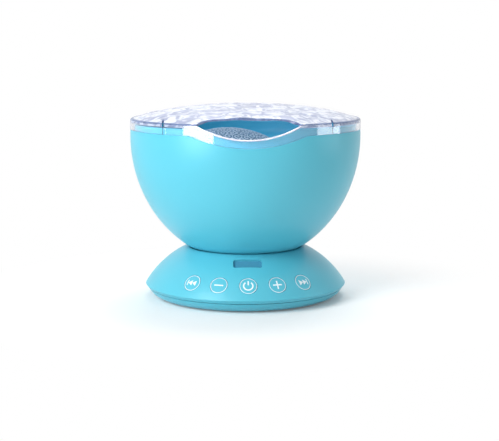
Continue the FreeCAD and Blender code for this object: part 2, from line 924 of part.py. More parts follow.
def audio_jack():
    """The audio input socket with its bore."""
    front = recess_y + jack_collar_proud
    half = jack_width / 2
    back = front - jack_bore_length - jack_collar_proud * 4
    panel_in = recess_y - panel_wall
    body = block(jack_x - half, jack_x + half, back, panel_in, board_top(), board_top() + jack_height)
    mouth = vec(jack_x, front, jack_z())
    collar = Part.makeCylinder(jack_collar_radius, front - panel_in, mouth, AXIS_Y * -1)
    bore = Part.makeCylinder(jack_bore_radius, jack_bore_length, mouth, AXIS_Y * -1)
    return one_solid(body.fuse(collar).cut(bore))


def control_board():
    """The printed board that carries the sockets and the sound circuit."""
    back = recess_y - panel_wall - board_gap
    board = block(-board_half_width, board_half_width, board_front_y, back, board_z, board_top())
    loose = screw_radius + screw_clearance
    holes = [disc(x, y, loose, board_z, board_top()) for x, y in board_post_places()]
    return board.cut(holes)


def board_parts():
    """A chip, two capacitors and two plug headers on the board."""
    low = board_top()
    middle_y = (board_front_y + recess_y) / 2 - panel_wall
    chip = block(-chip_side / 2, chip_side / 2, middle_y - chip_side / 2, middle_y + chip_side / 2,
                 low, low + chip_height)
    parts = [chip]
    for side in (-1, 1):
        x = side * (chip_side + capacitor_radius)
        parts.append(disc(x, middle_y, capacitor_radius, low, low + capacitor_height))
        header_x = side * (chip_side / 2 + header_length / 2)
        parts.append(block(header_x - header_length / 2, header_x + header_length / 2,
                           board_front_y + board_thickness, board_front_y + board_thickness + header_width,
                           low, low + header_height))
    return all_of(parts)


def board_screws():
    """Screws that hold the board on its posts."""
    return all_of([screw(x, y, board_top(), board_screw_length, -1) for x, y in board_post_places()])


# Speaker


def speaker_seat_z():
    """Height of the speaker flange's lower face."""
    return base_floor_z() + speaker_gasket_thickness


def at_speaker(edges):
    """A turned piece about the speaker's axis."""
    shape = revolve(edges)
    shape.translate(vec(0, speaker_y, 0))
    return shape


def speaker_gasket():
    """The soft ring under the speaker's flange."""
    return ring(0, speaker_y, speaker_radius - speaker_flange_width, speaker_radius,
                base_floor_z(), speaker_seat_z())


def speaker_basket():
    """The pressed basket: a flange and a funnel up to the magnet."""
    low = speaker_seat_z()
    flange_top = low + speaker_flange_thickness
    top = low + speaker_basket_height
    inner = speaker_radius - speaker_flange_width
    return at_speaker(outline([(inner, low), (speaker_radius, low), (speaker_radius, flange_top),
                               (inner + speaker_basket_wall, flange_top),
                               (speaker_throat_radius + speaker_basket_wall, top),
                               (cone_throat_radius, top), (cone_throat_radius, top - speaker_basket_wall),
                               (speaker_throat_radius, top - speaker_basket_wall), (inner, flange_top),
                               (inner, low)]))


def speaker_cone():
    """The paper cone with its dust cap."""
    low = speaker_seat_z()
    rim = speaker_radius - speaker_flange_width
    throat = cone_throat_radius - cone_wall
    high = low + cone_rise
    cap_low = high - dust_cap_height
    neck = (throat, high - cone_wall * 2)
    return at_speaker(outline([(rim, low), (rim, low + cone_wall), (throat, high), (0, high), (0, cap_low)])
                      + [bulged((0, cap_low), neck, -cone_wall), line(neck, (rim, low))])


def speaker_magnet():
    """The round magnet on the basket's back."""
    low = speaker_seat_z() + speaker_basket_height
    return disc(0, speaker_y, magnet_radius, low, low + magnet_height)


# Tilt clamp


def friction_ring():
    """The pad ring in the dish that drags on the bowl."""
    return friction_band(friction_gap, seat_gap + friction_depth)


def tilt_post():
    """The hollow post that ties the bowl to the base, with its flange under the dish."""
    under_seat = ball(seat_radius() + base_wall)
    low = tilt_pivot_z - seat_radius() - base_wall - post_flange_thickness
    flange = disc(0, 0, post_flange_radius, low, collar_z).cut(under_seat)
    tube = disc(0, 0, post_radius, low, post_top_z)
    return one_solid(flange.fuse(tube).cut(disc(0, 0, post_bore_radius, 0, far)))


def saddle_radius():
    """Radius of the saddle's lower face about the pivot."""
    return ball_radius - bowl_wall - saddle_gap


def tilt_saddle():
    """The curved saddle that holds the bowl down from inside."""
    plate = disc(0, 0, saddle_half_width, 0, tilt_pivot_z)
    plate = plate.common(block(-far, far, -saddle_half_depth, saddle_half_depth, 0, tilt_pivot_z))
    plate = plate.common(ball(saddle_radius())).cut(ball(saddle_radius() - saddle_thickness))
    return one_solid(plate.cut(disc(0, 0, post_radius, 0, far)))


def spring_low_z():
    """Height of the spring's lower edge, where its rim meets the curved saddle."""
    top = saddle_radius() - saddle_thickness
    return tilt_pivot_z - math.sqrt(top ** 2 - clamp_spring_radius ** 2)


def clamp_spring():
    """The spring washer that presses the saddle down."""
    low = spring_low_z()
    return ring(0, 0, post_radius, clamp_spring_radius, low, low + clamp_spring_height)


def clamp_nut():
    """The six-sided nut at the post's top."""
    low = spring_low_z() + clamp_spring_height
    corners = [vec(*polar(clamp_nut_radius, 60 * side), low) for side in range(7)]
    nut = Part.Face(Part.makePolygon(corners)).extrude(vec(0, 0, clamp_nut_height))
    return nut.cut(disc(0, 0, post_radius, 0, far))


# Deck, chassis and lamps


def gear_top_z():
    """Height of the ring gear's upper face."""
    return deck_top_z - deck_wall - gear_top_gap


def gear_low_z():
    """Height of the ring gear's lower face."""
    return gear_top_z() - gear_thickness


def chassis_top_z():
    """Height of the chassis plate's upper face."""
    return gear_low_z() - chassis_gap


def chassis_ear_places():
    """Plan positions of the chassis ears."""
    places = [polar(chassis_ear_ring, angle) for angle in chassis_ear_angles]
    return [(dome_x + x, y) for x, y in places]


def bent_edges(edge_r, flat_z, bend, top_z):
    """A flat line that bends up into a wall: from the axis out, round the bend and up to the top."""
    centre = (edge_r - bend, flat_z + bend)
    diagonal = bend * math.sqrt(0.5)
    turn = arc((centre[0], flat_z), (centre[0] + diagonal, centre[1] - diagonal), (edge_r, centre[1]))
    return [line((0, flat_z), (centre[0], flat_z)), turn, line((edge_r, centre[1]), (edge_r, top_z))]


def deck_form(inset):
    """The deck's outer form, or the space over it when inset by its wall."""
    edge_r = deck_radius - (liner_wall if inset else 0)
    flat_z = deck_top_z - deck_wall + inset
    edges = bent_edges(edge_r, flat_z, deck_bend, liner_top_z)
    return revolve(edges + outline([(edge_r, liner_top_z), (0, liner_top_z), (0, flat_z)]))


def inner_deck():
    """The deck in the bowl: a dish whose wall lines the cover's skirt, with the wave dome's opening."""
    under = deck_top_z - deck_wall
    deck = deck_form(0).cut([deck_form(deck_wall), above_dip(-liner_drop)])
    bosses = [disc(x, y, chassis_ear_radius, chassis_top_z(), under) for x, y in chassis_ear_places()]
    tools = [disc(dome_x, 0, dome_base_radius + dome_clearance, 0, far)]
    tools += [disc(x, y, screw_radius + screw_clearance, 0, far) for x, y in deck_screw_places()]
    tools += [disc(x, y, screw_head_radius + screw_clearance, deck_top_z, far) for x, y in deck_screw_places()]
    tools += [disc(x, y, screw_radius, 0, chassis_top_z() + chassis_screw_length - chassis_thickness)
              for x, y in chassis_ear_places()]
    return one_solid(deck.fuse(bosses).cut(tools))


def deck_screws():
    """Screws that hold the deck on the bowl's posts."""
    return all_of([screw(x, y, deck_top_z, deck_screw_length, -1) for x, y in deck_screw_places()])


def pinion_x():
    """Plan position of the pinion, one centre distance from the dome's axis."""
    return dome_x + gear_module * (ring_teeth + pinion_teeth) / 2


def lamp_chassis():
    """The plate under the deck: a round spigot that guides the ring gear, ears, and a lobe for the motor."""
    top = chassis_top_z()
    low = top - chassis_thickness
    spigot_top = gear_top_z() - spigot_top_gap
    additions = [disc(x, y, chassis_ear_radius, low, top) for x, y in chassis_ear_places()]
    additions += [ear_bridge(x, y, low, top) for x, y in chassis_ear_places()]
    additions.append(disc(pinion_x(), 0, motor_lobe_radius, low, top))
    additions.append(ring(dome_x, 0, spigot_radius - spigot_wall, spigot_radius, low, spigot_top))
    additions.append(ring(dome_x, 0, led_standoff_radius - led_standoff_width, led_standoff_radius,
                          low, top + led_standoff))
    plate = disc(dome_x, 0, chassis_radius, low, top).fuse(additions)
    holes = [disc(x, y, screw_radius + screw_clearance, 0, far) for x, y in chassis_ear_places()]
    holes.append(disc(pinion_x(), 0, motor_boss_radius, 0, far))
    loose = screw_radius + screw_clearance
    holes += [disc(pinion_x(), side * motor_screw_y, loose, 0, far) for side in (-1, 1)]
    holes += [disc(x, y, deck_post_radius + chassis_gap, 0, far) for x, y in deck_screw_places()]
    return one_solid(plate.cut(holes))


def ear_bridge(x, y, low, top):
    """The flat bar that joins an ear to the round plate."""
    length = math.hypot(x - dome_x, y)
    bar = block(0, length, -chassis_ear_radius, chassis_ear_radius, low, top)
    bar.rotate(ORIGIN, UP, math.degrees(math.atan2(y, x - dome_x)))
    bar.translate(vec(dome_x, 0, 0))
    return bar


def chassis_screws():
    """Screws that hang the chassis under the deck."""
    seat = chassis_top_z() - chassis_thickness
    return all_of([screw(x, y, seat, chassis_screw_length, 1) for x, y in chassis_ear_places()])


def led_board():
    """The round lamp board under the wave dome."""
    low = chassis_top_z() + led_standoff
    return disc(dome_x, 0, led_board_radius, low, low + led_board_thickness)


def led_lamps():
    """Domed lamps in a ring on the board."""
    low = chassis_top_z() + led_standoff + led_board_thickness
    lamps = []
    for index in range(led_count):
        x, y = polar(led_ring_radius, index * 360 / led_count)
        body = disc(dome_x + x, y, led_radius, low, low + led_height)
        dome = Part.makeSphere(led_radius, vec(dome_x + x, y, low + led_height))
        upper = dome.common(disc(dome_x + x, y, led_radius * 2, low + led_height, far))
        lamps.append(one_solid(body.fuse(upper)))
    return all_of(lamps)


# Gears and motor


def involute_angle(radius, base_radius):
    """Polar angle of an involute at a radius, counted from the base circle."""
    if radius <= base_radius:
        return 0.0
    ratio = math.sqrt((radius / base_radius) ** 2 - 1)
    return ratio - math.atan(ratio)


def tooth_points(teeth, angle):
    """One tooth's outline: root, pitch and tip points of both involute flanks, about its middle angle."""
    pitch = gear_module * teeth / 2
    base = pitch * math.cos(math.radians(pressure_angle))
    radii = (pitch - gear_root_share * gear_module, max(pitch - gear_module / 2, base), pitch,
             pitch + gear_module / 2, pitch + gear_module)
    half = (math.pi * gear_module / 2 - gear_backlash) / 2 / pitch + involute_angle(pitch, base)
    left = [(radius, angle - half + involute_angle(radius, base)) for radius in radii]
    right = [(radius, angle + half - involute_angle(radius, base)) for radius in reversed(radii)]
    return [(radius * math.cos(turn), radius * math.sin(turn)) for radius, turn in left + right]


def gear_blank(teeth, x, low, high, first_angle):
    """A spur gear without its bore."""
    points = []
    for index in range(teeth):
        points += tooth_points(teeth, first_angle + index * 2 * math.pi / teeth)
    corners = [vec(x + px, py, low) for px, py in points]
    return Part.Face(Part.makePolygon(corners + corners[:1])).extrude(vec(0, 0, high - low))


def dome_ring_gear():
    """The ring gear under the wave dome; it runs on the chassis spigot, one tooth facing the pinion."""
    blank = gear_blank(ring_teeth, dome_x, gear_low_z(), gear_top_z(), 0)
    return blank.cut(disc(dome_x, 0, spigot_radius + gear_bore_clearance, 0, far))


def drive_pinion():
    """The pinion on the motor's shaft, one gap facing the ring gear."""
    half_step = math.pi / pinion_teeth
    blank = gear_blank(pinion_teeth, pinion_x(), gear_low_z(), gear_top_z(), math.pi + half_step)
    return blank.cut(disc(pinion_x(), 0, shaft_radius, 0, far))


def wave_dome():
    """The clear dome with the wave pattern, seated on the ring gear."""
    low = gear_top_z()
    rise = dome_top_z - low
    outer_r = (dome_base_radius ** 2 + rise ** 2) / (2 * rise)
    centre = vec(dome_x, 0, dome_top_z - outer_r)
    shell = Part.makeSphere(outer_r, centre).cut(Part.makeSphere(outer_r - dome_wall, centre))
    return one_solid(shell.common(disc(dome_x, 0, outer_r, low, dome_top_z)))


def output_shaft():
    """The motor's output shaft."""
    low = chassis_top_z() - chassis_thickness - shaft_depth
    return disc(pinion_x(), 0, shaft_radius, low, gear_top_z())


def motor_gearbox():
    """The reduction gearbox hung under the chassis by its two ears."""
    top = chassis_top_z() - chassis_thickness
    x = pinion_x()
    body = block(x - gearbox_length / 2, x + gearbox_length / 2, -gearbox_width / 2, gearbox_width / 2,
                 top - gearbox_height, top)
    ears = block(x - gearbox_width / 4, x + gearbox_width / 4, -gearbox_ear_half_span, gearbox_ear_half_span,
                 top - gearbox_ear_thickness, top)
    boss = disc(x, 0, motor_boss_radius, top, top + motor_boss_height)
    tools = [disc(x, 0, shaft_radius + shaft_clearance, top - shaft_depth - motor_boss_height, far)]
    tools += [disc(x, side * motor_screw_y, screw_radius, 0, far) for side in (-1, 1)]
    return one_solid(body.fuse([ears, boss]).cut(tools))


def gear_motor():
    """The round motor under the gearbox."""
    top = chassis_top_z() - chassis_thickness - gearbox_height
    can = disc(pinion_x(), 0, motor_radius, top - motor_length, top)
    edges = [edge for edge in can.Edges if edge.BoundBox.ZMax < top - motor_length / 2]
    return can.makeFillet(motor_boss_height, edges)


def motor_screws():
    """Screws that hold the gearbox to the chassis."""
    seat = chassis_top_z()
    return all_of([screw(pinion_x(), side * motor_screw_y, seat, motor_screw_length, -1)
                   for side in (-1, 1)])


def button_names():
    """Node names of the buttons, left to right."""
    return ["button_previous", "button_volume_down", "button_power", "button_volume_up", "button_next"]


def save(shape, name):
    """Writes one piece to its own file."""
    shape.exportStep("parts/" + name + ".step")


def main():
    """Builds and writes every piece."""
    os.makedirs("parts", exist_ok=True)
    base = [base_cover, base_tray, rubber_feet, base_screws, ir_window, ir_receiver, control_board,
            board_parts, board_screws, usb_socket, audio_jack, switch_carrier, tact_switches, carrier_screws,
            speaker_gasket, speaker_basket, speaker_cone, speaker_magnet]
    tilt = [friction_ring, tilt_post, tilt_saddle, clamp_spring, clamp_nut]
    bowl = [bowl_shell, inner_deck, deck_screws, lamp_chassis, chassis_screws, led_board, led_lamps,
            motor_gearbox, gear_motor, motor_screws]
    turning = [wave_dome, dome_ring_gear, drive_pinion, output_shaft]
    for piece in base + tilt + bowl + turning + [clear_cover]:
        save(piece(), piece.__name__)
    for name, azimuth in zip(button_names(), button_azimuths()):
        save(button(azimuth), name)


main()
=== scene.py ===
# %% [markdown]
# A bedside light projector in teal plastic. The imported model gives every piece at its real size, in
# metres, with +Z up and the buttons towards -Y. The frame is loaded first, because everything below is
# placed by it.

# %% Load the frame
import json
import math

import bmesh
import bpy
import numpy as np
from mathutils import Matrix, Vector
from mathutils.bvhtree import BVHTree

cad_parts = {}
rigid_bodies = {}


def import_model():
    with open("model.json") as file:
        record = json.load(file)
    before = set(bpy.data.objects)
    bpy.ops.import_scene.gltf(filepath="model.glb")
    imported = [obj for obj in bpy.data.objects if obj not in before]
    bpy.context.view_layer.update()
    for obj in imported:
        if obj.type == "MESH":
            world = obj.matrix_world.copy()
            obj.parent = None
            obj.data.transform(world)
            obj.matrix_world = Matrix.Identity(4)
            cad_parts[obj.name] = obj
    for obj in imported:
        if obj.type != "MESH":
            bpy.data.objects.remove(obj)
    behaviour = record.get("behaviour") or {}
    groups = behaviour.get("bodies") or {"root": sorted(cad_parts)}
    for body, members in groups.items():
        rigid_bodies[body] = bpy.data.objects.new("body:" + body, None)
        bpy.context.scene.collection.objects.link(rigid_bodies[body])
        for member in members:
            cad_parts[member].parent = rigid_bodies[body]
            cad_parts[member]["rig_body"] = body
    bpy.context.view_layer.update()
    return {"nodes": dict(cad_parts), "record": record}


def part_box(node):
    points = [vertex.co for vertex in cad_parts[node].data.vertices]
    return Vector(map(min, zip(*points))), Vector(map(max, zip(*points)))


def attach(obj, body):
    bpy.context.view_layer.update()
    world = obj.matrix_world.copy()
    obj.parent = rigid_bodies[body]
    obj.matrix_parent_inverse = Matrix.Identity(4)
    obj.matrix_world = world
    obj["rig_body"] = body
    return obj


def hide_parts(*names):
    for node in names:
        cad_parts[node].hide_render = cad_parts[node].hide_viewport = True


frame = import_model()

MM = 0.001

# %% [markdown]
# The camera comes first. It stands 700 mm from the projector's axis and 146 mm above the table, and looks
# a little down, so the base shows its buttons and the clear cover its shallow crown. The focal length and
# the aim were worked out from the outline's width, its height and the ellipses of its rims.

# %% Camera
CAMERA_DISTANCE = 0.700
CAMERA_HEIGHT = 0.146
CAMERA_AZIMUTH = math.radians(-1.65)
CAMERA_PITCH = math.radians(8.38)
CAMERA_YAW = math.radians(-0.190)
FOCAL_LENGTH_MM = 89.1
SENSOR_WIDTH_MM = 36.0


def place_in_scene(name, data):
    """A new object with this data, linked to the scene."""
    piece = bpy.data.objects.new(name, data)
    bpy.context.scene.collection.objects.link(piece)
    return piece


def make_camera():
    """A camera on a circle about the axis, pitched down, turned a hair to the side to frame the object."""
    data = bpy.data.cameras.new("photo_camera")
    data.lens = FOCAL_LENGTH_MM
    data.sensor_width = SENSOR_WIDTH_MM
    camera = place_in_scene("photo_camera", data)
    aside = CAMERA_DISTANCE * math.sin(CAMERA_AZIMUTH)
    forward = -CAMERA_DISTANCE * math.cos(CAMERA_AZIMUTH)
    camera.location = (aside, forward, CAMERA_HEIGHT)
    camera.rotation_euler = (math.pi / 2 - CAMERA_PITCH, 0, CAMERA_AZIMUTH + CAMERA_YAW)
    bpy.context.scene.camera = camera


make_camera()

# %% [markdown]
# Materials are small node graphs. Colours are written as the sRGB hex values that a paint chart would use,
# and one function turns them to the linear numbers that shaders need. One helper adds a node, sets it and
# links it.

# %% Colour and node helpers


def linear(hex_colour, alpha=1.0):
    """sRGB hex to linear RGBA: below 0.04045 a channel is divided by 12.92, above it follows a 2.4 power."""
    channels = [int(hex_colour[i:i + 2], 16) / 255 for i in (1, 3, 5)]
    return tuple(c / 12.92 if c <= 0.04045 else ((c + 0.055) / 1.055) ** 2.4 for c in channels) + (alpha,)


def add(tree, kind, settings=None, **inputs):
    """Adds one node, sets its properties, and sets or links its inputs by name."""
    node = tree.nodes.new(kind)
    for name, value in (settings or {}).items():
        setattr(node, name, value)
    for name, value in inputs.items():
        socket = node.inputs[int(name[1:])] if name[1:].isdigit() else node.inputs[name.replace("_", " ")]
        if isinstance(value, bpy.types.NodeSocket):
            tree.links.new(value, socket)
        else:
            socket.default_value = value
    return node


def material(name):
    """A new material with only an output node; returns it and its tree."""
    mat = bpy.data.materials.new(name)
    mat.use_nodes = True
    mat.node_tree.nodes.clear()
    return mat, mat.node_tree


def finish_with(tree, shader):
    """Links the last shader to the output."""
    add(tree, "ShaderNodeOutputMaterial", Surface=shader.outputs[0])


def grain_bump(tree, grain_mm, depth_mm, detail=2.0):
    """A bump from noise on Object coordinates whose grain is grain_mm across and depth_mm deep."""
    place = add(tree, "ShaderNodeTexCoord").outputs["Object"]
    noise = add(tree, "ShaderNodeTexNoise", Vector=place, Scale=1 / (grain_mm * MM), Detail=detail)
    bump = add(tree, "ShaderNodeBump", Strength=1.0, Distance=depth_mm * MM, Height=noise.outputs["Fac"])
    return bump.outputs["Normal"], noise.outputs["Fac"]


# %% [markdown]
# The casing is ABS moulded in a satin tool: teal right through, with a fine spark texture that keeps the
# highlights wide and soft. The grain is about 0.35 mm, too fine to see as dots, so it only breaks the
# sheen.

# %% Satin ABS
TEAL = "#59C1D6"
TEAL_DEEP = "#50B6CC"
PRINT_AND_HIGHLIGHT_WHITE = "#F2FBFF"
SPARK_GRAIN_MM = 0.35
SPARK_DEPTH_MM = 0.006
DRIFT_SCALE = 18.0
ABS_IOR = 1.5
GLOW_SHARE = 0.06
GLOW_REACH = (0.002, 0.004, 0.005)


def satin_abs(name, colour, deep, roughness=0.36):
    """Moulded ABS: a slow drift between two near tones, satin gloss and a fine moulded grain."""
    mat, tree = material(name)
    normal, _ = grain_bump(tree, SPARK_GRAIN_MM, SPARK_DEPTH_MM)
    place = add(tree, "ShaderNodeTexCoord").outputs["Object"]
    drift = add(tree, "ShaderNodeTexNoise", Vector=place, Scale=DRIFT_SCALE, Detail=1.0)
    tone = add(tree, "ShaderNodeMix", {"data_type": "RGBA"}, Factor=drift.outputs["Fac"],
               _6=linear(colour), _7=linear(deep))
    shader = add(tree, "ShaderNodeBsdfPrincipled", Base_Color=tone.outputs[2], Roughness=roughness,
                 IOR=ABS_IOR, Normal=normal)
    shader.inputs["Subsurface Weight"].default_value = GLOW_SHARE
    shader.inputs["Subsurface Radius"].default_value = GLOW_REACH
    finish_with(tree, shader)
    return mat


ABS_TEAL = satin_abs("satin_abs_teal", TEAL, TEAL_DEEP)
ABS_CAPS = satin_abs("satin_abs_button_caps", TEAL, TEAL_DEEP, roughness=0.30)

# %% [markdown]
# The cover and the wave dome are clear moulded polystyrene. Real clear mouldings are never quite
# colourless: this one leans to lavender. The blue-grey of the thick edges, where light runs along inside
# them, is painted shade, as are the dark hollows of the dome's curls and the mauve-grey of the skirt's
# limb; the pale streaks on the crown and the white lip are painted highlights.

# %% Clear polystyrene
COVER_TINT = "#F2F5FB"
DOME_TINT = "#DDEEF2"
STYRENE_IOR = 1.59
VEIL_IOR = 1.5
VEIL_ROUGHNESS = 0.3
STREAK_LOW, STREAK_HIGH = 0.42, 0.60
CLOUD_LOW, CLOUD_HIGH = 0.35, 0.65
SMOOTHEST, ROUGHEST = 0.6, 1.4
LIMB_START, LIMB_PAINTED_SHADE = 0.80, 0.55


def clear_styrene(name, tint, roughness, haze, low_haze, high_haze, shade, relief="", grain_mm=5.0):
    """Clear plastic: refracting, IOR 1.59, with a share of haze where fine relief scatters the light.

    The haze runs between two tones, by the piece's own relief where it has one, and else by a broken noise.
    These tones are painted light and shade: painted highlight streaks on the crown and the lip, painted
    shade on the thick edges and in the dome's hollows. Towards the grazing limb the haze rises to a floor
    that is a painted shade.
    Light for what lies under it passes straight through, tinted, because shadow rays don't bend.
    """
    mat, tree = material(name)
    place = add(tree, "ShaderNodeTexCoord").outputs["Object"]
    cloud = add(tree, "ShaderNodeTexNoise", Vector=place, Scale=1 / (grain_mm * MM), Detail=4.0,
                Distortion=1.6)
    value = cloud.outputs["Fac"]
    if relief:
        value = add(tree, "ShaderNodeAttribute", {"attribute_name": relief}).outputs["Fac"]
    streak = add(tree, "ShaderNodeMapRange", {"interpolation_type": "SMOOTHSTEP"}, Value=value,
                 _1=STREAK_LOW, _2=STREAK_HIGH)
    spread = add(tree, "ShaderNodeMapRange", Value=cloud.outputs["Fac"], _1=CLOUD_LOW, _2=CLOUD_HIGH,
                 _3=roughness * SMOOTHEST, _4=roughness * ROUGHEST)
    glass = add(tree, "ShaderNodeBsdfPrincipled", Base_Color=linear(tint), Roughness=spread.outputs[0],
                IOR=STYRENE_IOR)
    glass.inputs["Transmission Weight"].default_value = 1.0
    tone = add(tree, "ShaderNodeMix", {"data_type": "RGBA"}, Factor=streak.outputs[0], _6=linear(low_haze),
               _7=linear(high_haze))
    veil = add(tree, "ShaderNodeBsdfPrincipled", Base_Color=tone.outputs[2], Roughness=VEIL_ROUGHNESS,
               IOR=VEIL_IOR)
    facing = add(tree, "ShaderNodeLayerWeight", Blend=0.5).outputs["Facing"]
    limb = add(tree, "ShaderNodeMapRange", Value=facing, _1=LIMB_START, _2=1.0, _3=haze,
               _4=max(haze, LIMB_PAINTED_SHADE))
    mixed = add(tree, "ShaderNodeMixShader", _0=limb.outputs[0], _1=glass.outputs[0], _2=veil.outputs[0])
    through = add(tree, "ShaderNodeBsdfTransparent", Color=linear(shade))
    path = add(tree, "ShaderNodeLightPath")
    finish_with(tree, add(tree, "ShaderNodeMixShader", _0=path.outputs["Is Shadow Ray"], _1=mixed.outputs[0],
                          _2=through.outputs[0]))
    return mat


# The skirt is clear, but towards its grazing limb its haze rises to a painted mauve-grey shade.
COVER_CLEAR = clear_styrene("clear_polystyrene_cover", COVER_TINT, roughness=0.04, haze=0.0,
                            low_haze="#8F99BA", high_haze="#A3ABC8", shade="#E6EAF4")
# The crown's pale and lavender streaks are painted highlights, the reflections on its ripples.
COVER_CROWN_HIGHLIGHTS = clear_styrene("rippled_crown_painted_highlights", COVER_TINT, roughness=0.12, haze=0.62,
                              low_haze="#A3AAC6", high_haze="#F2F4FA", shade="#C6CEDA", grain_mm=8.0)
# The thick edges' dark blue-grey is painted shade, the darkness that refraction gives them.
COVER_EDGE_SHADE = clear_styrene("polystyrene_edge_painted_shade", "#AFBCDD", roughness=0.15, haze=0.75,
                           low_haze="#50648C", high_haze="#6A7FA8", shade="#B4BCCF")
# The lip's near-white haze is a painted highlight.
COVER_LIP_HIGHLIGHT = clear_styrene("polystyrene_lip_painted_highlight", "#F6F0F6", roughness=0.10, haze=0.65,
                          low_haze="#E8DCE8", high_haze="#FFFFFF", shade="#D6D6E2")
# The dome's haze goes dark teal in the relief's hollows: painted shade.
DOME_CLEAR_HOLLOW_SHADE = clear_styrene("embossed_dome_painted_hollow_shade", DOME_TINT, roughness=0.10, haze=0.60,
                           low_haze="#4E7F92", high_haze="#E4EEF2", shade="#C4D8E0", relief="relief")

# %% [markdown]
# The other finishes are short: metals for screws and sockets, black and white mouldings for what lies
# inside, tinted acrylic for the remote control's window, and soft rubber for the feet.

# %% Small materials
DARK_SHARE = 0.86


def plain_finish(name, colour, roughness, metallic=0.0, grain_mm=0.5, depth_mm=0.01):
    """A finish with one colour that varies a little with a fine grain."""
    mat, tree = material(name)
    normal, grain = grain_bump(tree, grain_mm, depth_mm)
    dark = tuple(DARK_SHARE * c for c in linear(colour)[:3]) + (1.0,)
    tone = add(tree, "ShaderNodeMix", {"data_type": "RGBA"}, Factor=grain, _6=dark, _7=linear(colour))
    finish_with(tree, add(tree, "ShaderNodeBsdfPrincipled", Base_Color=tone.outputs[2], Roughness=roughness,
                          Metallic=metallic, Normal=normal))
    return mat


FINISHES = {
    "steel": plain_finish("zinc_plated_steel", "#B9BCC0", 0.32, metallic=1.0, grain_mm=0.3, depth_mm=0.004),
    "black_plastic": plain_finish("black_nylon", "#17181A", 0.45),
    "white_plastic": plain_finish("white_acetal", "#E7E7E2", 0.4),
    "gear_nylon": plain_finish("natural_acetal", "#E9E5D6", 0.38),
    "board_green": plain_finish("solder_mask_green", "#0F5A34", 0.35, grain_mm=0.8, depth_mm=0.01),
    "paper_cone": plain_finish("pressed_paper", "#202124", 0.85, grain_mm=0.4, depth_mm=0.05),
    "foot_rubber": plain_finish("soft_rubber", "#2A2C2E", 0.75, grain_mm=0.3, depth_mm=0.02),
    "felt": plain_finish("pressed_felt", "#20262B", 0.95, grain_mm=0.25, depth_mm=0.08),
    "smoked_window": plain_finish("tinted_acrylic", "#4A93B2", 0.15, grain_mm=2.0, depth_mm=0.002),
    "lamp_epoxy": plain_finish("clear_epoxy", "#EEF1F4", 0.10),
    "teal_abs": ABS_TEAL,
    "teal_caps": ABS_CAPS,
    "clear_pc": COVER_CLEAR,
    "wave_lens": DOME_CLEAR_HOLLOW_SHADE,
}
# One white serves the printed signs and the painted highlight rings on the caps' edges.
PRINT_AND_HIGHLIGHT = plain_finish("white_print_and_painted_highlight", PRINT_AND_HIGHLIGHT_WHITE, 0.45, grain_mm=0.2, depth_mm=0.003)
SLOT_OF = {part["node"]: part["material_slot"] for part in frame["record"]["subparts"]}


def dress_nodes():
    """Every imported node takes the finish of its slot."""
    for name, piece in frame["nodes"].items():
        piece.data.materials.clear()
        piece.data.materials.append(FINISHES[SLOT_OF[name]])


dress_nodes()
print("finishes:", sorted(set(SLOT_OF.values())))

# %% [markdown]
# Mesh helpers. A surface is a function of two parameters, worked out as a whole array and handed to the
# mesh in one go. A grid of points becomes quads, and it may close on itself in either direction.

# %% Grid helpers


def new_mesh(name, points, faces, mat, body, smooth=True):
    """A mesh object from points in metres and faces as rows of corner numbers, riding on a body."""
    corners = np.asarray(points, float).reshape(-1, 3).tolist()
    mesh = bpy.data.meshes.new(name)
    mesh.from_pydata(corners, [], [list(map(int, face)) for face in faces])
    mesh.validate()
    mesh.polygons.foreach_set("use_smooth", np.full(len(mesh.polygons), smooth))
    mesh.materials.append(mat)
    mesh.update()
    piece = place_in_scene(name, mesh)
    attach(piece, body)
    return piece


def grid_faces(rows, columns, close_rows=False, close_columns=False):
    """Quads between neighbouring rows and columns of a grid, each row-major."""
    row = np.arange(rows if close_rows else rows - 1)
    column = np.arange(columns if close_columns else columns - 1)
    r, c = np.meshgrid(row, column, indexing="ij")
    r2 = (r + 1) % rows
    c2 = (c + 1) % columns
    quads = np.stack([r * columns + c, r * columns + c2, r2 * columns + c2, r2 * columns + c], -1)
    return quads.reshape(-1, 4)


def merged_copy(node, name, mat, sharp_degrees=28.0, merge_mm=0.002):
    """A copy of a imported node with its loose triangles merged, shaded smooth up to a sharp angle."""
    mesh = frame["nodes"][node].data.copy()
    mesh.name = name
    work = bmesh.new()
    work.from_mesh(mesh)
    bmesh.ops.remove_doubles(work, verts=work.verts, dist=merge_mm * MM)
    bmesh.ops.dissolve_degenerate(work, dist=merge_mm * MM, edges=work.edges)
    work.to_mesh(mesh)
    work.free()
    mesh.polygons.foreach_set("use_smooth", np.ones(len(mesh.polygons), bool))
    mesh.set_sharp_from_angle(angle=math.radians(sharp_degrees))
    mesh.materials.clear()
    mesh.materials.append(mat)
    piece = place_in_scene(name, mesh)
    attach(piece, frame["nodes"][node]["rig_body"])
    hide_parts(node)
    return piece


# %% [markdown]
# The casing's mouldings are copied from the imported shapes, merged, and shaded smooth. That keeps every
# hole, dip and parting line where the maker has it, while the sweep of the bowl takes an unbroken
# highlight.

# %% Casing mouldings
CASING = {
    "bowl_shell": "bowl_moulding",
    "inner_deck": "deck_moulding",
    "base_cover": "base_cover_moulding",
    "base_tray": "base_tray_moulding",
}
for node_name, piece_name in CASING.items():
    piece = merged_copy(node_name, piece_name, ABS_TEAL)
    print(piece_name, len(piece.data.polygons), "faces")
for node_name in [n for n in frame["nodes"] if n.startswith("button_")]:
    merged_copy(node_name, node_name + "_cap", ABS_CAPS)

# %% [markdown]
# Each button carries a thin white ring at its edge and a sign: skip back, quieter, on or off, louder, skip
# on. The ring is a painted highlight, the cap's edge catching the light; the sign is print. Print is a skin
# of ink, so each mark is a thin slab that follows the cap's slope and stands a few hundredths proud, and the
# ring is laid the same way. The marks are drawn flat in millimetres, with x to the right and y up the slope,
# and then laid on their button.

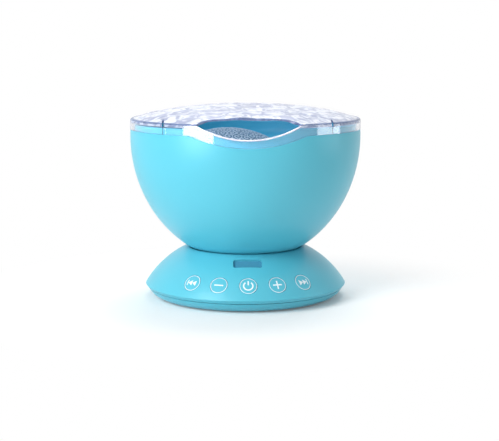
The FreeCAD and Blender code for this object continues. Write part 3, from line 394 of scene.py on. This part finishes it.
# %% Button places
PITCH_ANGLE = 17.7
RING_RADIUS = 51.8 * MM
RING_Z = 15.1 * MM
LEAN = math.radians(44.0)
PROBE = 4.0 * MM
MARK_SKIN = 0.05 * MM
BUTTONS = ("button_previous", "button_volume_down", "button_power", "button_volume_up", "button_next")


def lay_on_button(flat, lift, index):
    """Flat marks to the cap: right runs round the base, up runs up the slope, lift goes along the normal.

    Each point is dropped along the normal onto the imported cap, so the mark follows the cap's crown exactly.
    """
    azimuth = math.radians((index - 2) * PITCH_ANGLE)
    right = np.array([math.cos(azimuth), math.sin(azimuth), 0])
    out = np.array([math.sin(azimuth), -math.cos(azimuth), 0])
    normal = out * math.cos(LEAN) + np.array([0, 0, math.sin(LEAN)])
    up = -out * math.sin(LEAN) + np.array([0, 0, math.cos(LEAN)])
    above = out * RING_RADIUS + np.array([0, 0, RING_Z]) + PROBE * normal
    starts = above + MM * flat[:, :1] * right + MM * flat[:, 1:] * up
    way = Vector(-normal)
    found = [CAPS[index].ray_cast(Vector(start), way)[0] for start in starts]
    return np.array(found) + lift[:, None] * normal


def cap_trees():
    """A search tree over each packed cap, to drop the print on."""
    trees = []
    for name in BUTTONS:
        mesh = frame["nodes"][name].data
        corners = [vertex.co for vertex in mesh.vertices]
        trees.append(BVHTree.FromPolygons(corners, [face.vertices for face in mesh.polygons]))
    return trees


CAPS = cap_trees()


def slab(name, rim_loops, index, body):
    """A thin mark, print or painted highlight: strips between an inner and an outer outline, closed all
    round.
    """
    points = []
    faces = []
    for inner, outer in rim_loops:
        start = sum(len(p) for p in points)
        count = len(inner)
        layers = [lay_on_button(edge, lift * np.ones(count), index)
                  for edge, lift in ((inner, -MARK_SKIN), (outer, -MARK_SKIN), (outer, MARK_SKIN), (inner, MARK_SKIN))]
        points.append(np.concatenate(layers))
        faces.append(grid_faces(4, count, close_rows=True, close_columns=True) + start)
    return new_mesh(name, np.concatenate(points), np.concatenate(faces), PRINT_AND_HIGHLIGHT, body, smooth=False)


def circle(radius, count=72, start=0.0, sweep=360.0):
    """Points on an arc, the sweep in degrees from a start that is counted from the right."""
    angle = np.radians(start + sweep * np.arange(count) / count)
    return radius * np.stack([np.cos(angle), np.sin(angle)], -1)


def scaled(loop, factor):
    """An outline shrunk towards its own middle, so that a strip between the two fills it."""
    middle = loop.mean(0)
    return middle + (loop - middle) * factor


def filled(loop):
    """A filled mark as a strip from near its middle to its edge."""
    return scaled(loop, 0.02), loop


def dense(corners, per_side=6):
    """Straight sides with points between the corners, so that the mark can follow the curved cap."""
    corners = np.asarray(corners, float)
    following = np.roll(corners, -1, axis=0)
    share = np.arange(per_side)[:, None] / per_side
    return np.concatenate([a + (b - a) * share for a, b in zip(corners, following)])


def bar(width, height, x=0.0, y=0.0):
    """A straight printed stroke."""
    w, h = width / 2, height / 2
    return filled(dense([(x - w, y - h), (x + w, y - h), (x + w, y + h), (x - w, y + h)]))


def triangle(x_point, x_back, half):
    """A filled triangle that points along x."""
    corners = [(x_back, -half), (x_point, 0), (x_back, half)]
    return filled(dense(corners if x_point > x_back else corners[::-1]))


# The white ring at each cap's edge is a painted highlight, the edge catching the light.
EDGE_HIGHLIGHT_OUTER = 4.68
EDGE_HIGHLIGHT_WIDTH = 0.30
STROKE = 0.75
ARM = 2.5
HALF_ARM = (ARM - STROKE / 2) / 2
STOP_WIDTH, STOP_HEIGHT, STOP_X = 0.5, 3.2, 2.75
FIRST_POINT, FIRST_BACK, SECOND_BACK = 2.45, 0.05, 2.4
ARROW_HALF = 1.6
LOOP_RADIUS, LOOP_START, LOOP_SWEEP = 2.85, 126.0, 288.0
POWER_STROKE, POWER_STROKE_Y = 2.6, 1.7


def skip_sign(side):
    """A stop bar and two arrow heads that point at it, to the right for 1 and to the left for -1."""
    return [bar(STOP_WIDTH, STOP_HEIGHT, side * STOP_X),
            triangle(side * FIRST_POINT, side * FIRST_BACK, ARROW_HALF),
            triangle(0.0, -side * SECOND_BACK, ARROW_HALF)]


SIGNS = {
    "button_previous": skip_sign(-1),
    "button_volume_down": [bar(2 * ARM, STROKE)],
    "button_volume_up": [bar(2 * ARM, STROKE), bar(STROKE, 2 * HALF_ARM, 0, ARM - HALF_ARM),
                         bar(STROKE, 2 * HALF_ARM, 0, HALF_ARM - ARM)],
    "button_next": skip_sign(1),
}


def open_ring(name, radius, stroke, start, sweep, index, body, count=60):
    """An open printed ring: a grid across the stroke and along the arc, closed at both ends."""
    angle = np.radians(start + sweep * np.linspace(0, 1, count))
    direction = np.stack([np.cos(angle), np.sin(angle)], -1)
    inside = radius - stroke
    layers = [lay_on_button(direction * reach, lift * np.ones(count), index)
              for reach, lift in ((inside, -MARK_SKIN), (radius, -MARK_SKIN), (radius, MARK_SKIN), (inside, MARK_SKIN))]
    faces = grid_faces(4, count, close_rows=True).tolist()
    ends = [[0, count, 2 * count, 3 * count][::-1], [count - 1, 2 * count - 1, 3 * count - 1, 4 * count - 1]]
    return new_mesh(name, np.concatenate(layers), faces + ends, PRINT_AND_HIGHLIGHT, body, smooth=False)


# %% [markdown]
# Every button gets its ring, a painted highlight of the cap's edge, first. Four of them then get a sign of
# closed strokes, and the power button gets a loop that is open at the top, with an upright stroke in the gap.

# %% Print the buttons and paint their edge highlights
for index, button_name in enumerate(BUTTONS):
    # The ring is a painted highlight of the cap's edge.
    rim = (circle(EDGE_HIGHLIGHT_OUTER - EDGE_HIGHLIGHT_WIDTH), circle(EDGE_HIGHLIGHT_OUTER))
    slab(button_name + "_painted_edge_highlight", [rim], index, button_name)
    if button_name in SIGNS:
        slab(button_name + "_printed_sign", SIGNS[button_name], index, button_name)
    else:
        arc = (LOOP_RADIUS, STROKE, LOOP_START, LOOP_SWEEP)
        open_ring(button_name + "_printed_loop", *arc, index, button_name)
        stroke = bar(STROKE, POWER_STROKE, 0, POWER_STROKE_Y)
        slab(button_name + "_printed_stroke", [stroke], index, button_name)
print("printed", len(BUTTONS), "buttons")

# %% [markdown]
# The clear cover is the piece that the eye goes to. Its skirt is smooth, its crown is covered in ripples
# that throw the water pattern on the ceiling, and its front is dipped and notched for a fingertip. It is
# one grid: the outer skin runs from the skirt's lower edge over the shoulder to the apex, and the inner
# skin comes back. The notch and the slits are cut afterwards with simple prisms, as a mould's inserts form
# them.

# %% Cover outline
SKIRT_R = 65.0
COVER_WALL = 2.0
CROWN_SPREAD = 75.0
CROWN_RISE = 17.1
CROWN_TOP = 110.0
SHOULDER_R = 63.5
SKIRT_TOP = 100.6
RIM_Z = 95.7
COVER_GAP = 0.2
DIP = 6.2
DIP_RADIUS = 80.6
DIP_FILLET = 12.0


def rim_height(x):
    """Height of the rim over a plan position x: flat, a fillet down, then a wide arc up to the middle."""
    arc_z = RIM_Z - DIP + DIP_RADIUS
    fillet_z = RIM_Z - DIP_FILLET
    reach = DIP_RADIUS + DIP_FILLET
    flat_x = math.sqrt(reach ** 2 - (arc_z - fillet_z) ** 2)
    turn_x = flat_x * DIP_RADIUS / reach
    x = np.abs(x)
    dip = arc_z - np.sqrt(np.maximum(DIP_RADIUS ** 2 - x ** 2, 0))
    fillet = fillet_z + np.sqrt(np.maximum(DIP_FILLET ** 2 - (x - flat_x) ** 2, 0))
    return np.where(x < turn_x, dip, np.where(x < flat_x, fillet, RIM_Z))


def crown_height(radius, inset):
    """Height of the crown: an ellipse of half axes spread and rise about one centre, both less the inset."""
    centre = CROWN_TOP - CROWN_RISE
    return centre + (CROWN_RISE - inset) * np.sqrt(1 - (radius / (CROWN_SPREAD - inset)) ** 2)


RIPPLE_RADIUS = 61.0
RIPPLE_DEPTH = 0.55


def ripple(x, y):
    """Wave relief in millimetres: bands that bend and break, as sines of sines, fading at the rim.

    The plain numbers are the bands' own reaches, wave lengths and offsets, in millimetres and radians.
    """
    radius = np.hypot(x, y)
    bend = 3.2 * np.sin(x / 9.1 + 1.3 * np.sin(y / 7.3)) + 2.4 * np.sin(y / 11.7 - x / 15.0 + 0.8)
    first = np.sin((y + bend) / 1.55 + 1.7 * np.sin(x / 6.4 + 0.5))
    second = np.sin((x * 0.55 - y + 1.4 * bend) / 2.6 + 1.1 * np.sin((x + y) / 8.2))
    third = np.sin((x + 0.8 * y) / 3.9 + 0.9 * np.sin(y / 5.1))
    fade = np.clip((RIPPLE_RADIUS - radius) / 3.0, 0, 1)
    return RIPPLE_DEPTH * fade * (0.5 * first + 0.3 * second + 0.2 * third)


APEX = 0.004
SKIRT_RINGS = 6
INNER_SKIRT_RINGS = 5
SHOULDER_RINGS = 9
SHOULDER_ROUND = 1.5
OUTER_SHARE = 0.5
OUTER_SHIFT_X, OUTER_SHIFT_Y = 3.0, -2.0


def cover_grid(rings=150, columns=640):
    """The cover as one closed grid of radius and height, outer skin first, then the inner skin back down."""
    angle = np.linspace(0, 2 * math.pi, columns, endpoint=False)
    shoulder = np.linspace(0, math.pi / 2, SHOULDER_RINGS)
    crown = SHOULDER_R * np.linspace(1, APEX, rings)[1:]
    crown_edge = float(crown_height(SHOULDER_R, 0))
    inner_edge = SHOULDER_R - COVER_WALL
    inner_crown = inner_edge * np.linspace(APEX, 1, rings)
    inner_top = float(crown_height(inner_edge, COVER_WALL))
    inner_low = SKIRT_TOP - COVER_WALL / 2
    outer_r = [np.full(SKIRT_RINGS, SKIRT_R), SHOULDER_R + SHOULDER_ROUND * np.cos(shoulder), crown]
    inner_r = [inner_crown, inner_edge + SHOULDER_ROUND * np.sin(shoulder[1:]),
               np.full(INNER_SKIRT_RINGS, SKIRT_R - COVER_WALL)]
    radius = np.concatenate(outer_r + inner_r)[:, None] * np.ones(columns)
    x = radius * np.sin(angle)
    y = -radius * np.cos(angle)
    low = np.where(y < 0, rim_height(x), RIM_Z) + COVER_GAP
    free_outer = np.concatenate([SKIRT_TOP + (crown_edge - SKIRT_TOP) * np.sin(shoulder),
                                 crown_height(crown, 0)])
    free_inner = np.concatenate([crown_height(inner_crown, COVER_WALL),
                                 inner_low + (inner_top - inner_low) * np.cos(shoulder[1:])])
    at = SKIRT_RINGS + len(free_outer)
    skirt = np.linspace(0, 1, SKIRT_RINGS)[:, None]
    inner_skirt = np.linspace(1 / INNER_SKIRT_RINGS, 1, INNER_SKIRT_RINGS)[:, None]
    z = np.empty_like(radius)
    z[:SKIRT_RINGS] = low[:SKIRT_RINGS] + (SKIRT_TOP - low[:SKIRT_RINGS]) * skirt
    z[SKIRT_RINGS:at] = free_outer[:, None]
    z[at:-INNER_SKIRT_RINGS] = free_inner[:, None]
    z[-INNER_SKIRT_RINGS:] = inner_low + (low[-INNER_SKIRT_RINGS:] - inner_low) * inner_skirt
    relief = slice(at, at + rings)
    z[relief] += ripple(x[relief], y[relief])
    top = slice(SKIRT_RINGS + SHOULDER_RINGS, at)
    z[top] += OUTER_SHARE * (ripple(x[top] + OUTER_SHIFT_X, y[top] + OUTER_SHIFT_Y) - RIPPLE_DEPTH)
    return np.stack([x, y, z], -1), at


def build_cover():
    """Closes the grid into one solid: quads between rings, fans at both apexes, and the skirt's edge."""
    points, inner_start = cover_grid()
    rows, columns = points.shape[:2]
    flat = points.reshape(-1, 3)
    outer = grid_faces(inner_start, columns, close_columns=True)
    inner = grid_faces(rows - inner_start, columns, close_columns=True) + inner_start * columns
    ring = np.arange(columns)
    following = (ring + 1) % columns
    edge = np.stack([(rows - 1) * columns + ring, (rows - 1) * columns + following, following, ring], -1)
    apex_out = len(flat)
    apex_in = apex_out + 1
    last = (inner_start - 1) * columns
    first = inner_start * columns
    flat = np.vstack([flat] + [[0, 0, flat[row:row + columns, 2].mean()] for row in (last, first)])
    fan_out = np.stack([last + ring, last + following, np.full(columns, apex_out)], -1)
    fan_in = np.stack([first + following, first + ring, np.full(columns, apex_in)], -1)
    faces = np.concatenate([outer, inner, edge]).tolist() + fan_out.tolist() + fan_in.tolist()
    return new_mesh("rippled_cover", flat * MM, faces, COVER_CLEAR, "cover")


# %% [markdown]
# Cuts are made with closed bodies that are taken away exactly and then removed, so that the cover keeps
# one clean mesh of its own.

# %% Cutting helper


def cutting_body(name, points, faces):
    """A closed body to cut with, from points in millimetres, its faces turned outwards."""
    mesh = bpy.data.meshes.new(name)
    mesh.from_pydata((points * MM).tolist(), [], faces)
    work = bmesh.new()
    work.from_mesh(mesh)
    bmesh.ops.recalc_face_normals(work, faces=work.faces)
    work.to_mesh(mesh)
    work.free()
    return place_in_scene(name, mesh)


def prism(name, outline, low, high):
    """A closed upright prism over a plan outline, from low to high, in millimetres."""
    outline = np.asarray(outline, float)
    count = len(outline)
    layers = [np.insert(outline, 2, level, axis=1) for level in (low, high)]
    sides = grid_faces(2, count, close_columns=True).tolist()
    caps = [list(range(count))[::-1], list(range(count, 2 * count))]
    return cutting_body(name, np.concatenate(layers), sides + caps)


def carve(piece, cutters):
    """Cuts each body out of a piece and keeps the result as the piece's own mesh."""
    for cutter in cutters:
        boolean = piece.modifiers.new("cut", "BOOLEAN")
        boolean.operation = "DIFFERENCE"
        boolean.solver = "EXACT"
        boolean.object = cutter
    bpy.context.view_layer.update()
    depsgraph = bpy.context.evaluated_depsgraph_get()
    carved = bpy.data.meshes.new_from_object(piece.evaluated_get(depsgraph))
    piece.modifiers.clear()
    piece.data = carved
    for cutter in cutters:
        bpy.data.objects.remove(cutter)


# %% [markdown]
# The notch is where a front view of a wide arc and a plan view of a rounded pocket meet. Seen from the
# front its lower edge is an arc of 57 mm radius; seen from above its back runs straight, with 9 mm
# corners.

# %% Notch and slits
NOTCH_HALF = 28.0
NOTCH_LOW = 94.1
NOTCH_RADIUS = 57.0
NOTCH_BACK = -52.2
NOTCH_CORNER = 9.0
SLIT_X = 45.0
SLIT_WIDTH = 1.0
SLIT_LENGTH = 7.0
GROOVE = 0.25
GROOVE_LOW = 80.0
OUTSIDE = 1.5
NOTCH_STEPS = 57
CUT_FRONT = -75.0
CUT_TOP = 125.0


def notch_cutter():
    """The pocket seen from above, with its floor bent to the arc seen from the front."""
    turn = np.radians(np.linspace(0, 90, 13))
    corner_x = NOTCH_HALF - NOTCH_CORNER + NOTCH_CORNER * np.cos(turn)
    corner_y = NOTCH_BACK - NOTCH_CORNER + NOTCH_CORNER * np.sin(turn)
    across = np.linspace(NOTCH_HALF, -NOTCH_HALF, NOTCH_STEPS)
    front = np.stack([across[::-1], np.full(NOTCH_STEPS, CUT_FRONT)], -1)
    back_x = np.concatenate([corner_x, -corner_x[::-1]])
    back_y = np.concatenate([corner_y, corner_y[::-1]])
    back = np.stack([across, np.interp(across, back_x[::-1], back_y[::-1])], -1)
    back[0, 1] = back[-1, 1] = NOTCH_BACK - NOTCH_CORNER
    floor = NOTCH_LOW + NOTCH_RADIUS - np.sqrt(NOTCH_RADIUS ** 2 - front[:, 0] ** 2)
    rows = []
    for line_points in (front, back[::-1]):
        rows.append(np.column_stack([line_points, floor]))
    for line_points in (back[::-1], front):
        rows.append(np.column_stack([line_points, np.full(NOTCH_STEPS, CUT_TOP)]))
    faces = grid_faces(4, NOTCH_STEPS, close_rows=True).tolist()
    end = NOTCH_STEPS * np.arange(4)
    faces += [end.tolist(), (end + NOTCH_STEPS - 1)[::-1].tolist()]
    return cutting_body("notch_cutter", np.concatenate(rows), faces)


def rim_cutter(name, side, width, length, low, high):
    """A narrow upright slot on one side, that runs in from just outside the rim."""
    rim = -math.sqrt(SKIRT_R ** 2 - SLIT_X ** 2)
    left, right = side * SLIT_X - width / 2, side * SLIT_X + width / 2
    front, back = rim - OUTSIDE, rim + length
    return prism(name, [(left, front), (right, front), (right, back), (left, back)], low, high)


cover = build_cover()
slits = [rim_cutter("slit_cutter", side, SLIT_WIDTH, SLIT_LENGTH, SKIRT_TOP - 1.0, CUT_TOP)
         for side in (-1, 1)]
grooves = [rim_cutter("groove_cutter", side, GROOVE, GROOVE, GROOVE_LOW, SKIRT_TOP - 0.5)
           for side in (-1, 1)]
carve(cover, [notch_cutter()] + slits + grooves)
for finish in (COVER_CROWN_HIGHLIGHTS, COVER_EDGE_SHADE):
    cover.data.materials.append(finish)


# Face zones of the cover: the crown takes painted highlight streaks, the edges a painted dark shade.
PLAIN, CROWN, SHADED_EDGE = 0, 1, 2
EDGE_MARGIN = 0.3
CROWN_LOW = 100.0
SHOULDER_LOW = 101.25
UPRIGHT = 0.35
FACE_MARGIN = 0.1
NOTCH_FRONT, NOTCH_FACE_LOW = -40.0, 99.0
SLIT_FRONT, SLIT_FACE_LOW = -38.0, SKIRT_TOP - 0.4


def cover_zones(mesh):
    """Crown, edge or plain; the edges, painted dark as shade, are the shoulder, the notch's back and slits.
    """
    count = len(mesh.polygons)
    centre = np.empty(count * 3)
    normal = np.empty(count * 3)
    mesh.polygons.foreach_get("center", centre)
    mesh.polygons.foreach_get("normal", normal)
    x, y, z = (centre.reshape(-1, 3) / MM).T
    upright = np.abs(normal.reshape(-1, 3)[:, 2]) < UPRIGHT
    radius = np.hypot(x, y)
    crown = (radius < SHOULDER_R - EDGE_MARGIN) & (z > CROWN_LOW)
    shoulder = (radius > SHOULDER_R - EDGE_MARGIN) & (z > SHOULDER_LOW)
    notch = upright & (np.abs(x) < NOTCH_HALF + FACE_MARGIN) & (y < NOTCH_FRONT)
    notch &= (radius < SHOULDER_R - 1.0) & (z > NOTCH_FACE_LOW)
    slit = np.abs(np.abs(x) - SLIT_X) < SLIT_WIDTH / 2 + FACE_MARGIN
    slit &= (y < SLIT_FRONT) & (z > SLIT_FACE_LOW)
    return np.where(shoulder | notch | slit, SHADED_EDGE, np.where(crown, CROWN, PLAIN)).astype(np.int32)


cover.data.polygons.foreach_set("material_index", cover_zones(cover.data))
cover.data.polygons.foreach_set("use_smooth", np.ones(len(cover.data.polygons), bool))
cover.data.set_sharp_from_angle(angle=math.radians(35))
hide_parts("clear_cover")
print("cover faces", len(cover.data.polygons))

# %% [markdown]
# The skirt's edge in the notch is rounded and polished, and it catches the light as a thin white line. That
# line is painted: a bead in a near-white hazy finish, a painted highlight, follows the edge: an arc of the
# skirt seen from above, and the notch's wide arc seen from the front.

# %% Notch lip
LIP_RADIUS = 0.45
LIP_SEAT = 64.0
LIP_OVERRUN = 1.5
LIP_SINK = 0.7


def build_lip(count=120, sides=14):
    """A round bead along the notch's lower edge, with closed ends."""
    x = np.linspace(-NOTCH_HALF - LIP_OVERRUN, NOTCH_HALF + LIP_OVERRUN, count)
    y = -np.sqrt(LIP_SEAT ** 2 - x ** 2)
    z = NOTCH_LOW + NOTCH_RADIUS - np.sqrt(NOTCH_RADIUS ** 2 - x ** 2) - LIP_RADIUS * LIP_SINK
    path = np.stack([x, y, z], -1)
    along = np.gradient(path, axis=0)
    along /= np.linalg.norm(along, axis=1, keepdims=True)
    across = np.cross(along, [0.0, 0.0, 1.0])
    across /= np.linalg.norm(across, axis=1, keepdims=True)
    third = np.cross(across, along)
    turn = 2 * math.pi * np.arange(sides) / sides
    points = (path[:, None] + LIP_RADIUS * (np.cos(turn)[:, None] * across[:, None]
                                            + np.sin(turn)[:, None] * third[:, None]))
    faces = grid_faces(count, sides, close_columns=True).tolist()
    faces += [list(range(sides))[::-1], list(range((count - 1) * sides, count * sides))]
    lip = new_mesh("notch_lip", points.reshape(-1, 3) * MM, faces, COVER_LIP_HIGHLIGHT, "cover")


build_lip()

# %% [markdown]
# Under the cover a second clear dome turns on the ring gear. Curls are embossed in it, so its moving
# shadow looks like water. The relief is a spiral about each centre of a staggered lattice, pressed into
# the outer skin. Its hollows are painted a dark teal, as shade.

# %% Wave dome
DOME_X = -10.0
DOME_TOP = 96.3
DOME_BASE_R = 34.0
DOME_WALL = 1.8
CURL_PITCH = 5.2
CURL_DEPTH = 0.5
CURL_WAVE = 1.8
ROW_STEP = 0.87
DOME_FADE = 2.5
DOME_INNER_RINGS = 40


def curls(x, y):
    """Embossed curls: each point takes the spiral of its nearest centre, a sine of distance and turn."""
    row = np.round(y / (CURL_PITCH * ROW_STEP))
    shifted = x - 0.5 * CURL_PITCH * (row % 2)
    column = np.round(shifted / CURL_PITCH)
    u = shifted - column * CURL_PITCH
    v = y - row * CURL_PITCH * ROW_STEP
    turn = np.where((row + column) % 2 == 0, 1.0, -1.0)
    distance = np.hypot(u, v)
    spiral = np.sin(2 * math.pi * distance / CURL_WAVE + turn * np.arctan2(v, u) + row * 1.9 + column * 0.7)
    return CURL_DEPTH * 0.5 * spiral * np.clip(1.15 - distance / CURL_PITCH * 1.4, 0, 1)


def build_wave_dome(rings=150, columns=420):
    """A spherical cap in one grid: relief on the outer skin, a plain inner skin and a flat lower edge."""
    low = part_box("wave_dome")[0][2] / MM
    rise = DOME_TOP - low
    ball = (DOME_BASE_R ** 2 + rise ** 2) / (2 * rise)
    centre = DOME_TOP - ball
    angle = np.linspace(0, 2 * math.pi, columns, endpoint=False)
    half = math.asin(DOME_BASE_R / ball)
    inner_ball = ball - DOME_WALL
    inner_half = math.acos((low - centre) / inner_ball)
    tilt = np.concatenate([np.linspace(half, APEX, rings), np.linspace(APEX, inner_half, DOME_INNER_RINGS)])
    size = np.concatenate([np.full(rings, ball), np.full(DOME_INNER_RINGS, inner_ball)])
    x = (size * np.sin(tilt))[:, None] * np.cos(angle)
    y = (size * np.sin(tilt))[:, None] * np.sin(angle)
    relief = np.zeros_like(x)
    fade = np.clip((DOME_BASE_R - np.hypot(x, y)) / DOME_FADE, 0, 1)
    relief[:rings] = (curls(x, y) * fade)[:rings] - CURL_DEPTH * 0.5
    reach = size[:, None] + relief
    x = reach * np.sin(tilt)[:, None] * np.cos(angle)
    y = reach * np.sin(tilt)[:, None] * np.sin(angle)
    z = centre + reach * np.cos(tilt)[:, None]
    z[0] = low
    points = np.stack([x + DOME_X, y, z], -1).reshape(-1, 3)
    quads = np.concatenate([grid_faces(rings, columns, close_columns=True),
                            grid_faces(DOME_INNER_RINGS, columns, close_columns=True) + rings * columns])
    ring = np.arange(columns)
    following = (ring + 1) % columns
    last = (rings + DOME_INNER_RINGS - 1) * columns
    rim = np.stack([last + ring, last + following, following, ring], -1)
    out_row, in_row = (rings - 1) * columns, rings * columns
    top = [[DOME_X, 0, points[row:row + columns, 2].mean()] for row in (out_row, in_row)]
    fan_out = np.stack([out_row + ring, out_row + following, np.full(columns, len(points))], -1)
    fan_in = np.stack([in_row + following, in_row + ring, np.full(columns, len(points) + 1)], -1)
    faces = np.concatenate([quads, rim]).tolist() + fan_out.tolist() + fan_in.tolist()
    piece = new_mesh("embossed_wave_dome", np.vstack([points, top]) * MM, faces, DOME_CLEAR_HOLLOW_SHADE, "wave_dome")
    # The relief also sets the dome's haze tone: its hollows take a dark teal, a painted shade.
    height = 1 + np.append(relief.ravel(), [-CURL_DEPTH, -CURL_DEPTH]) / CURL_DEPTH
    piece.data.attributes.new("relief", "FLOAT", "POINT").data.foreach_set("value", height.astype(np.float32))
    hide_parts("wave_dome")
    return piece


dome = build_wave_dome()
print("wave dome faces", len(dome.data.polygons))

# %% [markdown]
# The studio is a sheet of white paper in a white room, with two soft lights and two standing cards. The
# key stands to the left and in front, so the bowl is brightest on its left flank, and the cards give the
# short bright marks in the skirt.

# %% Studio
FLOOR_HALF = 1.6
PAPER_GLOW = 0.10
PAPER_NEAR, PAPER_FAR = 0.08, 0.17
ROOM_LIGHT = 0.47
CARD_LOW = 0.002
LIGHT_AIM = (0, 0, 0.06)
CARDS = {
    "card_left": {"azimuth": -46.0, "distance": 0.50, "width": 0.27, "height": 0.55, "strength": 9.0},
    "card_right": {"azimuth": 84.0, "distance": 0.50, "width": 0.27, "height": 0.40, "strength": 4.5},
}
LIGHTS = {
    "key_left": {"place": (-0.62, -0.60, 0.50), "size": (0.5, 0.6), "power": 8.0},
    "top_soft": {"place": (0.12, 0.42, 0.85), "size": (0.6, 0.6), "power": 4.5},
}


def white_to_camera(name, shade):
    """Paper that camera, glossy and refracted rays see as bright, while it still takes the shadow."""
    mat, tree = material(name)
    path = add(tree, "ShaderNodeLightPath")
    paper = add(tree, "ShaderNodeBsdfDiffuse", Color=linear(shade))
    glow = add(tree, "ShaderNodeEmission", Color=(1, 1, 1, 1), Strength=PAPER_GLOW)
    straight = add(tree, "ShaderNodeMath", {"operation": "MAXIMUM"}, _0=path.outputs["Is Camera Ray"],
                   _1=path.outputs["Is Glossy Ray"])
    either = add(tree, "ShaderNodeMath", {"operation": "MAXIMUM"}, _0=straight.outputs[0],
                 _1=path.outputs["Is Transmission Ray"])
    both = add(tree, "ShaderNodeAddShader", _0=paper.outputs[0], _1=glow.outputs[0])
    place = add(tree, "ShaderNodeTexCoord").outputs["Object"]
    reach = add(tree, "ShaderNodeVectorMath", {"operation": "LENGTH"}, _0=place).outputs["Value"]
    away = add(tree, "ShaderNodeMapRange", {"interpolation_type": "SMOOTHSTEP"}, Value=reach,
               _1=PAPER_NEAR, _2=PAPER_FAR)
    white = add(tree, "ShaderNodeEmission", Color=(1, 1, 1, 1), Strength=1.0)
    near = add(tree, "ShaderNodeMixShader", _0=away.outputs[0], _1=both.outputs[0], _2=white.outputs[0])
    chosen = add(tree, "ShaderNodeMixShader", _0=either.outputs[0], _1=paper.outputs[0], _2=near.outputs[0])
    finish_with(tree, chosen)
    return mat


def make_floor():
    """A flat sheet under the object, in one square."""
    mesh = bpy.data.meshes.new("paper_floor")
    corners = [(-FLOOR_HALF, -FLOOR_HALF, 0), (FLOOR_HALF, -FLOOR_HALF, 0), (FLOOR_HALF, FLOOR_HALF, 0),
               (-FLOOR_HALF, FLOOR_HALF, 0)]
    mesh.from_pydata(corners, [], [(0, 1, 2, 3)])
    mesh.materials.append(white_to_camera("white_paper", "#F2F2F2"))
    place_in_scene("paper_floor", mesh)


def soft_light(name, place, size, power):
    """A softbox at a place, aimed at the middle of the projector."""
    data = bpy.data.lights.new(name, "AREA")
    data.shape = "RECTANGLE"
    data.size, data.size_y = size
    data.energy = power
    light = place_in_scene(name, data)
    light.location = place
    light.rotation_euler = (Vector(LIGHT_AIM) - Vector(place)).to_track_quat("-Z", "Y").to_euler()


def make_world():
    """A white room: bright to the camera and in glass, gentler as a light."""
    world = bpy.data.worlds.new("studio")
    world.use_nodes = True
    tree = world.node_tree
    tree.nodes.clear()
    path = add(tree, "ShaderNodeLightPath")
    strength = add(tree, "ShaderNodeMapRange", Value=path.outputs["Is Diffuse Ray"], _1=0.0, _2=1.0,
                   _3=1.0, _4=ROOM_LIGHT)
    back = add(tree, "ShaderNodeBackground", Color=(1, 1, 1, 1), Strength=strength.outputs[0])
    add(tree, "ShaderNodeOutputWorld", Surface=back.outputs[0])
    bpy.context.scene.world = world


def reflector(name, azimuth, distance, width, height, strength):
    """A standing white card that only mirror-like surfaces see, as bright as the strength given."""
    turn = math.radians(azimuth)
    middle = np.array([distance * math.sin(turn), -distance * math.cos(turn)])
    side = np.array([math.cos(turn), math.sin(turn)]) * width / 2
    low, high = middle - side, middle + side
    mesh = bpy.data.meshes.new(name)
    corners = [(*low, CARD_LOW), (*high, CARD_LOW), (*high, height), (*low, height)]
    mesh.from_pydata(corners, [], [(0, 1, 2, 3)])
    mat, tree = material(name)
    path = add(tree, "ShaderNodeLightPath")
    glow = add(tree, "ShaderNodeEmission", Strength=strength)
    clear = add(tree, "ShaderNodeBsdfTransparent")
    finish_with(tree, add(tree, "ShaderNodeMixShader", _0=path.outputs["Is Glossy Ray"], _1=clear.outputs[0],
                          _2=glow.outputs[0]))
    mesh.materials.append(mat)
    place_in_scene(name, mesh)


make_floor()
make_world()
for card_name, card in CARDS.items():
    reflector(card_name, **card)
for light_name, light in LIGHTS.items():
    soft_light(light_name, **light)
bpy.context.scene.view_settings.view_transform = "Standard"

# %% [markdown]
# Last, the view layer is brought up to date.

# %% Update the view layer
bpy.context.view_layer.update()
